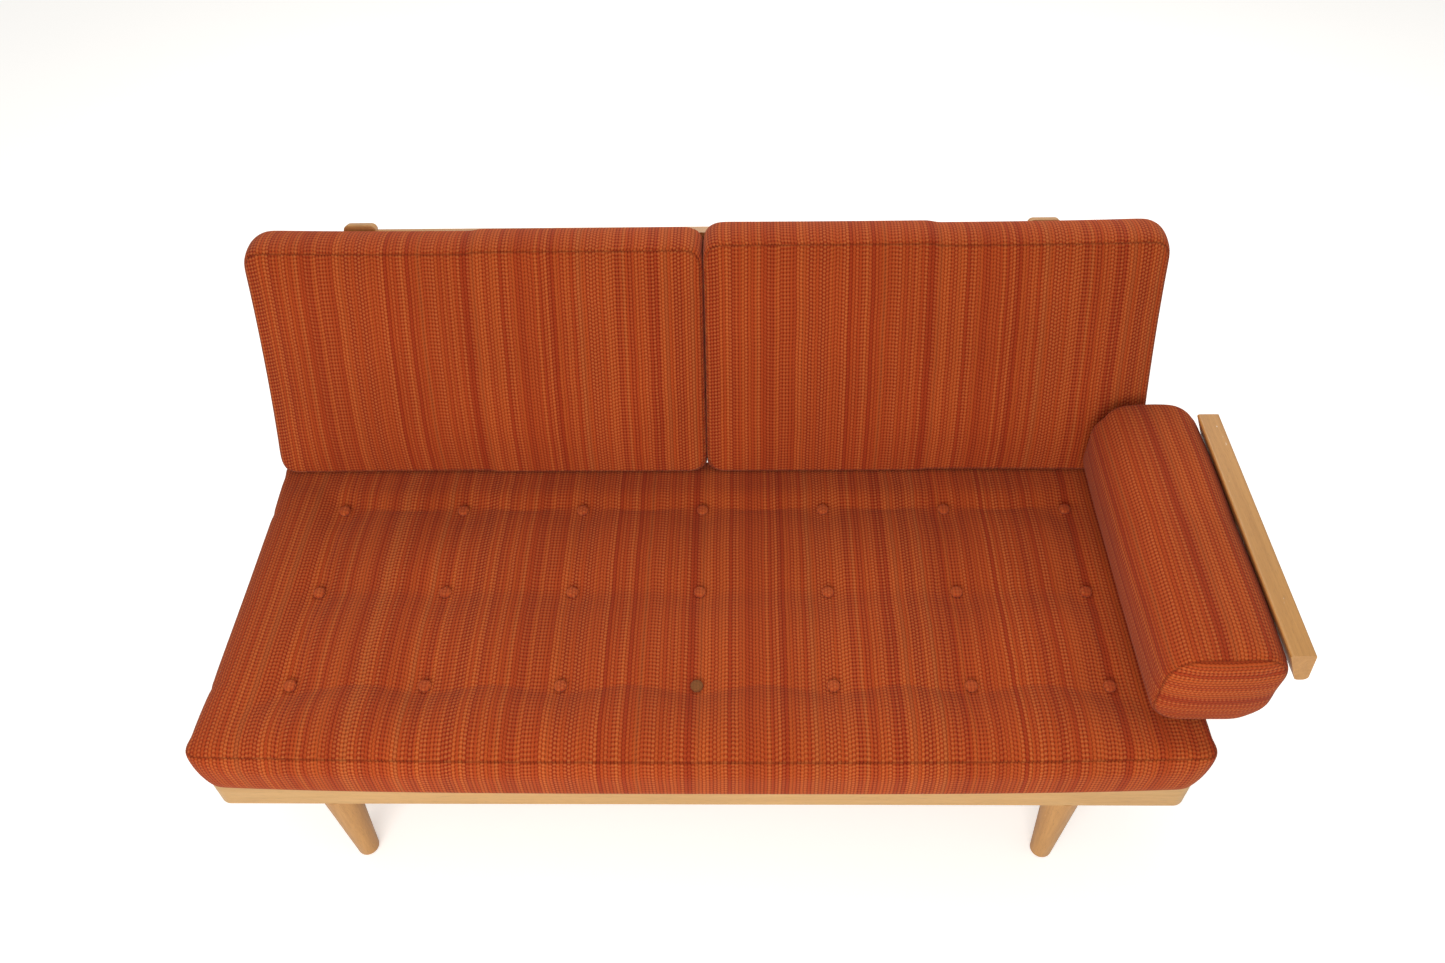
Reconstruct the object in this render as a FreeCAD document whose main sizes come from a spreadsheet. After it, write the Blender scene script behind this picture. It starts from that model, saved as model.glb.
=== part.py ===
import FreeCAD, Part
import os

import Sketcher

# Daybed: a beech frame on four turned legs, with a slatted base, a buttoned mattress, two loose
# back cushions against a leaning backrest, and a bolster beside a leaning armrest at the right end.
# While it is built, the middle of the bed frame on the floor is at 0, 0, 0: +X runs along the bed to
# the armrest, +Y to the backrest and +Z up. The last step moves everything so that the origin is
# under the middle of the overall box.

SIZES = (
    # alias, value (mm or degrees), what it is
    ("bed_length", 1856, "frame, end to end"),
    ("bed_depth", 744, "frame, front to back"),
    ("rail_bottom", 260, "floor to the underside of the frame"),
    ("rail_height", 75, "height of all four rails"),
    ("rail_thick", 26, "thickness of all four rails"),
    ("corner_round", 24, "plan radius of the frame's outer corners"),
    ("edge_round", 3, "softened long edges of the timber"),
    ("bearer_offset", 706, "bed centre to each leg bearer's centre"),
    ("bearer_width", 95, "leg bearer, along the bed"),
    ("bearer_thick", 28, "leg bearer, height"),
    ("leg_inset", 36, "rail face to leg axis"),
    ("leg_top_radius", 36, "turned leg at the frame"),
    ("leg_foot_radius", 21.5, "turned leg at the floor"),
    ("leg_foot_round", 6, "rounding of the leg's foot"),
    ("glide_height", 4, "glide under each leg"),
    ("glide_radius", 14, "glide under each leg"),
    ("stud_radius", 5, "steel stud that holds a leg"),
    ("stud_reach", 22, "stud length in the bearer"),
    ("stud_root", 38, "stud length in the leg"),
    ("slat_width", 60, "slat, along the bed"),
    ("slat_thick", 18, "slat, height"),
    ("slat_count", 12, "slats in the base"),
    ("slat_pitch", 152, "slat centre to slat centre"),
    ("ledger_width", 20, "strip along each long rail that carries the slats"),
    ("beam_width", 40, "middle beam under the slats"),
    ("block_side", 55, "legs of the triangular corner block"),
    ("block_drop", 4, "corner block's distance from slats and rail underside"),
    ("screw_radius", 2.2, "wood screw shank"),
    ("screw_head_radius", 4.5, "wood screw head"),
    ("screw_head_height", 3, "wood screw head"),
    ("fit_gap", 0.15, "clearance around studs, screws and tenons"),
    ("slide_gap", 0.4, "clearance around a post in its socket"),
    ("rest_gap", 0.5, "clearance under and behind each loose piece"),
    ("mattress_length", 1880, "mattress, end to end"),
    ("mattress_depth", 772, "mattress, front to back"),
    ("mattress_thick", 116, "mattress, height"),
    ("mattress_round", 16, "rounded top and bottom edges of the mattress"),
    ("mattress_corner", 30, "plan radius of the mattress's corners"),
    ("button_columns", 7, "buttons along the mattress"),
    ("button_rows", 3, "buttons across the mattress"),
    ("button_pitch_x", 258.7, "button spacing along the mattress"),
    ("button_pitch_y", 222.4, "button spacing across the mattress"),
    ("button_radius", 12, "covered button"),
    ("button_height", 8, "covered button"),
    ("well_radius", 13, "recess that holds a button or a tuft disc"),
    ("well_depth", 9, "recess that holds a button or a tuft disc"),
    ("disc_height", 2, "tuft disc under the mattress"),
    ("back_lean", 20, "backrest, degrees from vertical"),
    ("back_setback", 28, "rear rail's face to the posts' front plane, at the rail's top"),
    ("back_post_offset", 718, "bed centre to each back post's centre"),
    ("back_post_width", 68, "back post, along the bed"),
    ("back_post_thick", 22, "back post, front to back"),
    ("back_post_length", 668, "back post, foot to top"),
    ("back_post_round", 12, "rounded top corners of a back post"),
    ("back_rail_height", 60, "each rail between the back posts"),
    ("back_rail_drop", 14, "top rail below the tops of the posts"),
    ("back_rail_pitch", 180, "back rail to back rail"),
    ("back_rail_count", 3, "rails between the back posts"),
    ("back_rail_thick", 20, "thickness of the rails between the back posts"),
    ("tenon_length", 28, "tenon at each end of a back rail"),
    ("tenon_height", 36, "tenon at each end of a back rail"),
    ("tenon_thick", 8, "tenon at each end of a back rail"),
    ("cushion_thick", 112, "back cushion, front to back"),
    ("cushion_round", 20, "rounded cushion edges"),
    ("cushion_slump", 18, "rear panel above the front one, along the lean"),
    ("left_cushion_width", 947, "left back cushion"),
    ("left_cushion_height", 503, "left back cushion, along its lean"),
    ("left_cushion_start", -940, "left back cushion's left side"),
    ("right_cushion_width", 946, "right back cushion"),
    ("right_cushion_height", 513, "right back cushion, along its lean"),
    ("right_cushion_start", 9, "right back cushion's left side"),
    ("bolster_width", 222, "bolster, across"),
    ("bolster_height", 203, "bolster, height"),
    ("bolster_length", 630, "bolster, front to back"),
    ("bolster_round", 70, "rounded long edges of the bolster"),
    ("bolster_end_round", 20, "rounded end edges of the bolster"),
    ("bolster_start_x", 812, "bolster's left side"),
    ("bolster_back_y", 321, "bolster's back end"),
    ("arm_lean", 8, "armrest posts, degrees from vertical"),
    ("arm_setback", 82, "end rail's face to the arm posts' inner plane, at the rail's top"),
    ("arm_centre_y", -8, "middle of the armrest, from the bed centre"),
    ("arm_post_offset", 115, "armrest's middle to each arm post's centre"),
    ("arm_post_width", 45, "arm post, front to back"),
    ("arm_post_thick", 18, "arm post, across"),
    ("arm_tenon_thick", 10, "tenon on top of an arm post"),
    ("arm_tenon_height", 24, "tenon on top of an arm post"),
    ("arm_bar_length", 590, "armrest bar, front to back"),
    ("arm_bar_top", 660, "floor to the armrest bar's top"),
    ("arm_bar_height", 72, "armrest bar, height"),
    ("arm_bar_inner", 85, "end rail's face to the bar's inner top edge"),
    ("arm_bar_top_width", 45, "armrest bar, across the top"),
    ("arm_bar_undercut", 30, "inner face's slope, from top edge to bottom edge"),
    ("arm_bar_foot_width", 23, "armrest bar, across the bottom"),
    ("arm_bar_foot_round", 9, "rounded bottom edges of the bar"),
    ("arm_bar_top_round", 4, "rounded top edges of the bar"),
    ("socket_wall", 3, "steel around a post"),
    ("socket_depth", 85, "post length held by its socket"),
    ("socket_foot", 23, "rail's underside to the post's foot"),
    ("socket_edge", 8, "rail's edges to the socket's plate"),
    ("plate_thick", 4, "socket's screw plate"),
    ("plate_ear", 18, "screw plate beyond the sleeve, on each side"),
    ("bracket_screw_length", 22, "screw through a socket's plate"),
    ("slat_screw_length", 40, "screw through a slat's end"),
    ("bearer_screw_length", 50, "screw up through a bearer"),
    ("bearer_screw_offset", 43, "bearer's middle to its screws, along the bed"),
    ("socket_screw_inset", 20, "rail's edges to a socket's screws"),
)

X_AXIS = FreeCAD.Vector(1, 0, 0)
Y_AXIS = FreeCAD.Vector(0, 1, 0)
Z_AXIS = FreeCAD.Vector(0, 0, 1)
TOLERANCE = 1e-6
EDGE_TOLERANCE = 1e-3

# Heights and planes that several pieces share, as expressions on the sheet's cells.
RAIL_TOP = "(Sizes.rail_bottom + Sizes.rail_height)"
LEDGER_HEIGHT = "(Sizes.rail_height - Sizes.bearer_thick - Sizes.slat_thick)"
LEDGER_BOTTOM = "(Sizes.rail_bottom + Sizes.bearer_thick)"
INNER_DEPTH = "(Sizes.bed_depth - 2 * Sizes.rail_thick)"
INNER_LENGTH = "(Sizes.bed_length - 2 * Sizes.rail_thick)"
MATTRESS_BOTTOM = f"({RAIL_TOP} + Sizes.rest_gap)"
SEAT_TOP = f"({MATTRESS_BOTTOM} + Sizes.mattress_thick)"
SEAT_REST = f"({SEAT_TOP} + Sizes.rest_gap)"
BACK_RAIL_LENGTH = "(2 * Sizes.back_post_offset - Sizes.back_post_width)"
ARM_FACE = "Sizes.bed_length / 2"

doc = FreeCAD.newDocument("Daybed")
nodes = []


# ---------------------------------------------------------------- sheet and small helpers

def make_sheet():
    """Put every driving size into one spreadsheet, each cell with its alias."""
    sheet = doc.addObject("Spreadsheet::Sheet", "Sizes")
    for row, (alias, number, note) in enumerate(SIZES, start=1):
        sheet.set(f"A{row}", str(number))
        sheet.setAlias(f"A{row}", alias)
        sheet.set(f"B{row}", note)
    doc.recompute()
    return sheet


def value(expression):
    """The number that an expression on the sheet's cells gives."""
    return float(sizes.evalExpression(str(expression)))


def place(x=0, y=0, z=0, axis=Z_AXIS, angle=0):
    """A placement from expressions for its position and an angle about one axis."""
    base = FreeCAD.Vector(value(x), value(y), value(z))
    return FreeCAD.Placement(base, FreeCAD.Rotation(axis, value(angle)))


def bind(item, **expressions):
    """Bind an object's properties to expressions on the sheet."""
    for name, expression in expressions.items():
        item.setExpression(name, str(expression))
    return item


def keep(item, label):
    """Name an object as one physical piece (or one group of identical fasteners)."""
    item.Label = label
    nodes.append(item)
    return item


def box(name, length, width, height, where):
    """A box whose corner is at `where`, with sizes along X, Y and Z."""
    item = doc.addObject("Part::Box", name)
    bind(item, Length=length, Width=width, Height=height)
    item.Placement = where
    return item


def cylinder(name, radius, height, where):
    """A cylinder standing on `where`, along that placement's own Z."""
    item = doc.addObject("Part::Cylinder", name)
    bind(item, Radius=radius, Height=height)
    item.Placement = where
    return item


def group(name, items):
    """Separate solids held together as one object."""
    item = doc.addObject("Part::Compound", name)
    item.Links = items
    return item


def fuse(name, items):
    """One solid out of several that meet."""
    item = doc.addObject("Part::MultiFuse", name)
    item.Shapes = items
    item.Refine = True
    return item


def cut(name, base, tool):
    """The base with the tool's volume taken away."""
    item = doc.addObject("Part::Cut", name)
    item.Base = base
    item.Tool = tool
    return item


# ---------------------------------------------------------------- PartDesign helpers

def new_body(name):
    """An empty PartDesign body."""
    return doc.addObject("PartDesign::Body", name)


def new_sketch(body, name, role):
    """A sketch on one of the body's own origin planes."""
    sketch = body.newObject("Sketcher::SketchObject", name)
    plane = next(item for item in body.Origin.OriginFeatures if item.Role == role)
    sketch.AttachmentSupport = (plane, [""])
    sketch.MapMode = "FlatFace"
    return sketch


def fix_point(sketch, line, across, along):
    """Hold a line's first point at two expressions, measured from the sketch's origin."""
    for kind, axis, expression in (("DistanceX", -2, across), ("DistanceY", -1, along)):
        number = value(expression)
        if abs(number) < TOLERANCE:
            sketch.addConstraint(Sketcher.Constraint("PointOnObject", line, 1, axis))
            continue
        index = sketch.addConstraint(Sketcher.Constraint(kind, -1, 1, line, 1, number))
        sketch.setExpression(f"Constraints[{index}]", str(expression))


def outline(body, name, role, points):
    """A closed outline of straight lines through points given as pairs of expressions."""
    sketch = new_sketch(body, name, role)
    corners = [FreeCAD.Vector(value(across), value(along), 0) for across, along in points]
    for start, end in zip(corners, corners[1:] + corners[:1]):
        sketch.addGeometry(Part.LineSegment(start, end), False)
    count = len(points)
    for line in range(count):
        sketch.addConstraint(Sketcher.Constraint("Coincident", line, 2, (line + 1) % count, 1))
    for line, (across, along) in enumerate(points):
        fix_point(sketch, line, across, along)
    return sketch


def rectangle(body, name, role, left, low, right, high):
    """A rectangular outline between two corners given as expressions."""
    return outline(body, name, role, [(left, low), (right, low), (right, high), (left, high)])


def circles(body, name, role, centres, radius):
    """A sketch of equal circles at centres given as pairs of expressions."""
    sketch = new_sketch(body, name, role)
    for across, along in centres:
        centre = FreeCAD.Vector(value(across), value(along), 0)
        index = sketch.addGeometry(Part.Circle(centre, Z_AXIS, value(radius)), False)
        number = sketch.addConstraint(Sketcher.Constraint("Radius", index, value(radius)))
        sketch.setExpression(f"Constraints[{number}]", str(radius))
        for kind, axis, expression in (("DistanceX", -2, across), ("DistanceY", -1, along)):
            if abs(value(expression)) < TOLERANCE:
                sketch.addConstraint(Sketcher.Constraint("PointOnObject", index, 3, axis))
                continue
            held = Sketcher.Constraint(kind, -1, 1, index, 3, value(expression))
            number = sketch.addConstraint(held)
            sketch.setExpression(f"Constraints[{number}]", str(expression))
    return sketch


def pad(body, sketch, length, backward=False):
    """Raise a sketch into a solid."""
    feature = body.newObject("PartDesign::Pad", sketch.Name + "_pad")
    feature.Profile = sketch
    feature.Reversed = backward
    bind(feature, Length=length)
    doc.recompute()
    return feature


def pocket(body, sketch, length, backward=False):
    """Sink a sketch into the solid, and check that it takes material away."""
    before = body.Shape.Volume
    feature = body.newObject("PartDesign::Pocket", sketch.Name + "_pocket")
    feature.Profile = sketch
    feature.Reversed = backward
    bind(feature, Length=length)
    doc.recompute()
    if feature.Shape.Volume > before - 1:
        raise RuntimeError(f"{feature.Name} takes nothing away")
    return feature


def round_edges(body, feature, radius, wanted):
    """Round those edges of the last feature that the test `wanted` picks."""
    names = [f"Edge{number}" for number, edge in enumerate(feature.Shape.Edges, start=1) if wanted(edge)]
    rounding = body.newObject("PartDesign::Fillet", feature.Name + "_round")
    rounding.Base = (feature, names)
    bind(rounding, Radius=radius)
    doc.recompute()
    return rounding


def edge_along(edge, axis):
    """Is this a straight edge along the axis?"""
    if edge.Curve.TypeId != "Part::GeomLine":
        return False
    return abs(abs(edge.tangentAt(edge.FirstParameter).dot(axis)) - 1) < TOLERANCE


def edge_lies(edge, axis, distance):
    """Does the whole edge lie in the plane at this distance along the axis?"""
    box_of_edge = edge.BoundBox
    low = FreeCAD.Vector(box_of_edge.XMin, box_of_edge.YMin, box_of_edge.ZMin).dot(axis)
    high = FreeCAD.Vector(box_of_edge.XMax, box_of_edge.YMax, box_of_edge.ZMax).dot(axis)
    return abs(low - distance) < EDGE_TOLERANCE and abs(high - distance) < EDGE_TOLERANCE


def any_edge(edge):
    """Every edge counts."""
    return True


# ---------------------------------------------------------------- screws

def screw_parts(name, length, spots, extra):
    """Screws at the spots: each head stands on its spot, and the shank runs back along -Z."""
    parts = []
    for number, spot in enumerate(spots, start=1):
        below = FreeCAD.Placement(FreeCAD.Vector(0, 0, -value(length)), FreeCAD.Rotation())
        shank = cylinder(f"{name}_shank_{number}", f"Sizes.screw_radius + {extra}", length,
                         spot.multiply(below))
        head = cylinder(f"{name}_head_{number}", f"Sizes.screw_head_radius + {extra}",
                        "Sizes.screw_head_height", spot)
        parts.append(fuse(f"{name}_{number}", [shank, head]))
    return group(name, parts)


def screws(label, length, spots):
    """One node with all the screws of a kind."""
    return keep(screw_parts(label, length, spots, "0"), label)


def screw_holes(name, length, spots):
    """The volume that clears a set of screws."""
    return screw_parts(name, length, spots, "Sizes.fit_gap")


# ---------------------------------------------------------------- where screws and sockets sit

def turned(where, axis, angle):
    """A placement turned about one of its own axes."""
    return where.multiply(FreeCAD.Placement(FreeCAD.Vector(), FreeCAD.Rotation(axis, angle)))


def slat_centres():
    """Centres of the slats along the bed."""
    count = int(value("Sizes.slat_count"))
    pitch = value("Sizes.slat_pitch")
    return [(number - (count - 1) / 2) * pitch for number in range(count)]


def slat_screw_spots(centre):
    """Where a slat's two screw heads sit, sunk into its top over the ledgers."""
    depth = f"({INNER_DEPTH} - Sizes.ledger_width) / 2"
    top = f"{RAIL_TOP} - Sizes.screw_head_height"
    return [place(centre, f"{side} * {depth}", top) for side in (-1, 1)]


def bearer_screw_spots(side):
    """Four screws up through a bearer into the ledgers, heads sunk into its underside."""
    spots = []
    for end in (-1, 1):
        for shift in (-1, 1):
            x = f"{side} * Sizes.bearer_offset + {shift} * Sizes.bearer_screw_offset"
            y = f"{end} * ({INNER_DEPTH} - Sizes.ledger_width) / 2"
            spot = place(x, y, "Sizes.rail_bottom + Sizes.screw_head_height")
            spots.append(turned(spot, X_AXIS, 180))
    return spots


def leg_spots():
    """Name and axis position of each leg."""
    spots = {}
    for end, y in (("front", -1), ("rear", 1)):
        for side, x in (("left", -1), ("right", 1)):
            across = f"{y} * (Sizes.bed_depth / 2 - Sizes.leg_inset)"
            spots[f"{end}_{side}"] = (f"{x} * Sizes.bearer_offset", across)
    return spots


def socket_spots():
    """Name of each socket, its frame on the rail's underside, and the sizes that differ.

    In a socket's frame the rail's face is at y = 0, +Y points away from the bed and +Z is up.
    """
    back = ("Sizes.back_post_width", "Sizes.back_post_thick", "Sizes.back_lean", "Sizes.back_setback")
    arm = ("Sizes.arm_post_width", "Sizes.arm_post_thick", "Sizes.arm_lean", "Sizes.arm_setback")
    spots = []
    for name, side in (("back_socket_left", -1), ("back_socket_right", 1)):
        frame = place(f"{side} * Sizes.back_post_offset", "Sizes.bed_depth / 2", "Sizes.rail_bottom")
        spots.append((name, frame, back))
    for name, side in (("arm_socket_front", -1), ("arm_socket_rear", 1)):
        y = f"Sizes.arm_centre_y + {side} * Sizes.arm_post_offset"
        frame = place(ARM_FACE, y, "Sizes.rail_bottom", Z_AXIS, -90)
        spots.append((name, frame, arm))
    return spots


def socket_screw_spots(frame, width):
    """Four screws through a socket's ears, heads on the plate's outer face."""
    spots = []
    x = f"({width}) / 2 + Sizes.socket_wall + Sizes.plate_ear / 2"
    for side in (-1, 1):
        for height in ("Sizes.socket_screw_inset", "Sizes.rail_height - Sizes.socket_screw_inset"):
            spot = frame.multiply(place(f"{side} * ({x})", "Sizes.plate_thick", height))
            spots.append(turned(spot, X_AXIS, -90))
    return spots


# ---------------------------------------------------------------- frame

def long_rail(label, angle, holes=None):
    """A full-length rail: outer face at -Y of its own frame, outer corners rounded in plan."""
    body = new_body(label + "_timber")
    sketch = rectangle(body, label + "_plan", "XY_Plane", "-Sizes.bed_length / 2", "-Sizes.bed_depth / 2",
                       "Sizes.bed_length / 2", "-Sizes.bed_depth / 2 + Sizes.rail_thick")
    rail = pad(body, sketch, "Sizes.rail_height")
    face = -value("Sizes.bed_depth / 2")
    rail = round_edges(body, rail, "Sizes.corner_round",
                       lambda edge: edge_along(edge, Z_AXIS) and edge_lies(edge, Y_AXIS, face))
    round_edges(body, rail, "Sizes.edge_round",
                lambda edge: edge_along(edge, X_AXIS) and edge_lies(edge, Y_AXIS, face))
    body.Placement = place(0, 0, "Sizes.rail_bottom", Z_AXIS, angle)
    return keep(cut(label, body, holes) if holes else body, label)


def end_rail(label, side, holes=None):
    """A rail between the two long ones, outer face at the frame's end."""
    body = new_body(label + "_timber")
    sketch = rectangle(body, label + "_plan", "XY_Plane", "-Sizes.rail_thick", f"-{INNER_DEPTH} / 2",
                       0, f"{INNER_DEPTH} / 2")
    rail = pad(body, sketch, "Sizes.rail_height")
    round_edges(body, rail, "Sizes.edge_round",
                lambda edge: edge_along(edge, Y_AXIS) and edge_lies(edge, X_AXIS, 0))
    turn = 0 if side > 0 else 180
    body.Placement = place(f"{side} * Sizes.bed_length / 2", 0, "Sizes.rail_bottom", Z_AXIS, turn)
    return keep(cut(label, body, holes) if holes else body, label)


def corner_block(label, side, end):
    """A triangular block glued into an inner corner of the frame."""
    body = new_body(label)
    sketch = outline(body, label + "_plan", "XY_Plane",
                     [(0, 0), ("Sizes.block_side", 0), (0, "Sizes.block_side")])
    pad(body, sketch, "Sizes.rail_height - Sizes.slat_thick - 2 * Sizes.block_drop")
    turn = {(-1, -1): 0, (1, -1): 90, (1, 1): 180, (-1, 1): 270}[(side, end)]
    body.Placement = place(f"{side} * {INNER_LENGTH} / 2", f"{end} * {INNER_DEPTH} / 2",
                           "Sizes.rail_bottom + Sizes.block_drop", Z_AXIS, turn)
    return keep(body, label)


def bearer(label, side):
    """The board across the frame that two legs screw into."""
    board = box(label + "_board", "Sizes.bearer_width", INNER_DEPTH, "Sizes.bearer_thick",
                place(f"{side} * Sizes.bearer_offset - Sizes.bearer_width / 2", f"-{INNER_DEPTH} / 2",
                      "Sizes.rail_bottom"))
    holes = [screw_holes(label + "_screw_holes", "Sizes.bearer_screw_length", bearer_screw_spots(side))]
    for name, (x, y) in leg_spots().items():
        if value(x) * side > 0:
            holes.append(cylinder(f"{label}_{name}_hole", "Sizes.stud_radius + Sizes.fit_gap",
                                  "Sizes.stud_reach + Sizes.fit_gap", place(x, y, "Sizes.rail_bottom")))
    return keep(cut(label, board, group(label + "_holes", holes)), label)


def ledger(label, end):
    """The strip inside a long rail that the slats lie on."""
    length = f"({INNER_LENGTH} - 2 * Sizes.block_side - 2 * Sizes.block_drop)"
    inner = f"({INNER_DEPTH} / 2)"
    y = f"-{inner}" if end < 0 else f"{inner} - Sizes.ledger_width"
    strip = box(label + "_strip", length, "Sizes.ledger_width", LEDGER_HEIGHT,
                place(f"-{length} / 2", y, LEDGER_BOTTOM))
    slat_spots = [slat_screw_spots(centre)[0 if end < 0 else 1] for centre in slat_centres()]
    bearer_spots = [spot for side in (-1, 1) for spot in bearer_screw_spots(side)
                    if spot.Base.y * end > 0]
    holes = [screw_holes(label + "_slat_holes", "Sizes.slat_screw_length", slat_spots),
             screw_holes(label + "_bearer_holes", "Sizes.bearer_screw_length", bearer_spots)]
    return keep(cut(label, strip, group(label + "_holes", holes)), label)


def slat(label, centre):
    """One slat of the base, screwed to both ledgers."""
    board = box(label + "_board", "Sizes.slat_width", INNER_DEPTH + " - 2 * Sizes.rest_gap",
                "Sizes.slat_thick",
                place(f"{centre} - Sizes.slat_width / 2", f"-{INNER_DEPTH} / 2 + Sizes.rest_gap",
                      f"{RAIL_TOP} - Sizes.slat_thick"))
    holes = screw_holes(label + "_holes", "Sizes.slat_screw_length", slat_screw_spots(centre))
    return keep(cut(label, board, holes), label)


def middle_beam():
    """The beam on the two bearers that carries the slats at mid-depth."""
    length = "(2 * Sizes.bearer_offset + Sizes.bearer_width)"
    beam = box("middle_beam", length, "Sizes.beam_width", LEDGER_HEIGHT,
               place(f"-{length} / 2", "-Sizes.beam_width / 2", LEDGER_BOTTOM))
    return keep(beam, "middle_beam")


def leg(label, x, y):
    """A turned, tapered leg with a bore for its stud, turned about its own Z."""
    body = new_body(label)
    bore = "Sizes.stud_radius + Sizes.fit_gap"
    bore_foot = "Sizes.rail_bottom - Sizes.stud_root - Sizes.fit_gap"
    sketch = outline(body, label + "_profile", "XZ_Plane",
                     [(0, "Sizes.glide_height"), ("Sizes.leg_foot_radius", "Sizes.glide_height"),
                      ("Sizes.leg_top_radius", "Sizes.rail_bottom"), (bore, "Sizes.rail_bottom"),
                      (bore, bore_foot), (0, bore_foot)])
    turning = body.newObject("PartDesign::Revolution", label + "_turning")
    turning.Profile = sketch
    turning.ReferenceAxis = (sketch, ["V_Axis"])
    turning.Angle = 360
    doc.recompute()
    foot = value("Sizes.glide_height")
    round_edges(body, turning, "Sizes.leg_foot_round", lambda edge: edge_lies(edge, Z_AXIS, foot))
    body.Placement = place(x, y, 0)
    return keep(body, label)


def legs():
    """Four legs, their glides and their studs."""
    studs = []
    for name, (x, y) in leg_spots().items():
        leg(f"leg_{name}", x, y)
        glide = cylinder(f"glide_{name}", "Sizes.glide_radius", "Sizes.glide_height", place(x, y, 0))
        keep(glide, f"glide_{name}")
        studs.append(cylinder(f"stud_{name}", "Sizes.stud_radius", "Sizes.stud_reach + Sizes.stud_root",
                              place(x, y, "Sizes.rail_bottom - Sizes.stud_root")))
    keep(group("leg_studs", studs), "leg_studs")


def socket(label, frame, sizes_of_post):
    """A steel socket: a screw plate, a leaning sleeve around the post's foot, and a boss between."""
    width, thick, lean, setback = sizes_of_post
    wall = "(Sizes.socket_wall + Sizes.slide_gap)"
    outer_width = f"({width} + 2 * {wall})"
    foot_y = f"({setback} - (Sizes.rail_height - Sizes.socket_foot) * tan({lean}))"
    plate_width = f"({outer_width} + 2 * Sizes.plate_ear)"
    plate_height = "(Sizes.rail_height - 2 * Sizes.socket_edge)"
    post = frame.multiply(place(0, foot_y, "Sizes.socket_foot", X_AXIS, f"-{lean}"))
    plate = box(label + "_plate", plate_width, "Sizes.plate_thick", plate_height,
                frame.multiply(place(f"-{plate_width} / 2", 0, "Sizes.socket_edge")))
    boss = box(label + "_boss", outer_width, setback, plate_height,
               frame.multiply(place(f"-{outer_width} / 2", 0, "Sizes.socket_edge")))
    sleeve = box(label + "_sleeve", outer_width, f"{thick} + 2 * {wall}",
                 "Sizes.socket_depth + Sizes.socket_wall",
                 post.multiply(place(f"-{outer_width} / 2", f"-{wall}", "-Sizes.socket_wall")))
    well = box(label + "_well", f"{width} + 2 * Sizes.slide_gap", f"{thick} + 2 * Sizes.slide_gap",
               "Sizes.socket_depth * 2",
               post.multiply(place(f"-({width}) / 2 - Sizes.slide_gap", "-Sizes.slide_gap", 0)))
    steel = fuse(label + "_steel", [plate, boss, sleeve])
    holes = screw_holes(label + "_holes", "Sizes.bracket_screw_length", socket_screw_spots(frame, width))
    return keep(cut(label, steel, group(label + "_tools", [well, holes])), label)


def sockets():
    """All four sockets and their screws."""
    spots = []
    for name, frame, sizes_of_post in socket_spots():
        socket(name, frame, sizes_of_post)
        spots += socket_screw_spots(frame, sizes_of_post[0])
    screws("socket_screws", "Sizes.bracket_screw_length", spots)


def socket_holes(prefix):
    """Screw holes in the rail behind the sockets whose names start with the prefix."""
    spots = []
    for name, frame, sizes_of_post in socket_spots():
        if name.startswith(prefix):
            spots += socket_screw_spots(frame, sizes_of_post[0])
    return screw_holes(prefix + "_rail_holes", "Sizes.bracket_screw_length", spots)


def frame():
    """Rails, blocks, bearers, ledgers, beam, slats, legs, sockets and their screws."""
    long_rail("front_rail", 0)
    long_rail("rear_rail", 180, socket_holes("back"))
    end_rail("left_end_rail", -1)
    end_rail("right_end_rail", 1, socket_holes("arm"))
    for end, y in (("front", -1), ("rear", 1)):
        for side, x in (("left", -1), ("right", 1)):
            corner_block(f"corner_block_{end}_{side}", x, y)
        ledger(f"{end}_ledger", y)
    for side, x in (("left", -1), ("right", 1)):
        bearer(f"leg_bearer_{side}", x)
    screws("bearer_screws", "Sizes.bearer_screw_length", bearer_screw_spots(-1) + bearer_screw_spots(1))
    middle_beam()
    slat_spots = []
    for number, centre in enumerate(slat_centres(), start=1):
        slat(f"slat_{number:02d}", centre)
        slat_spots += slat_screw_spots(centre)
    screws("slat_screws", "Sizes.slat_screw_length", slat_spots)
    legs()
    sockets()


# ---------------------------------------------------------------- backrest

def backrest_frame():
    """The leaning frame of the backrest: origin at the posts' feet, y = 0 on their front plane."""
    y = "Sizes.bed_depth / 2 + Sizes.back_setback"
    down = "(Sizes.rail_height - Sizes.socket_foot)"
    foot = place(0, f"{y} - {down} * tan(Sizes.back_lean)", f"{RAIL_TOP} - {down}",
                 X_AXIS, "-Sizes.back_lean")
    return foot.multiply(place(0, 0, "Sizes.rest_gap"))


def back_rail_heights():
    """Height of each back rail's lower edge above the posts' feet, as expressions."""
    top = "Sizes.back_post_length - Sizes.back_rail_drop - Sizes.back_rail_height"
    return [f"({top} - {number} * Sizes.back_rail_pitch)"
            for number in range(int(value("Sizes.back_rail_count")))]


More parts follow.
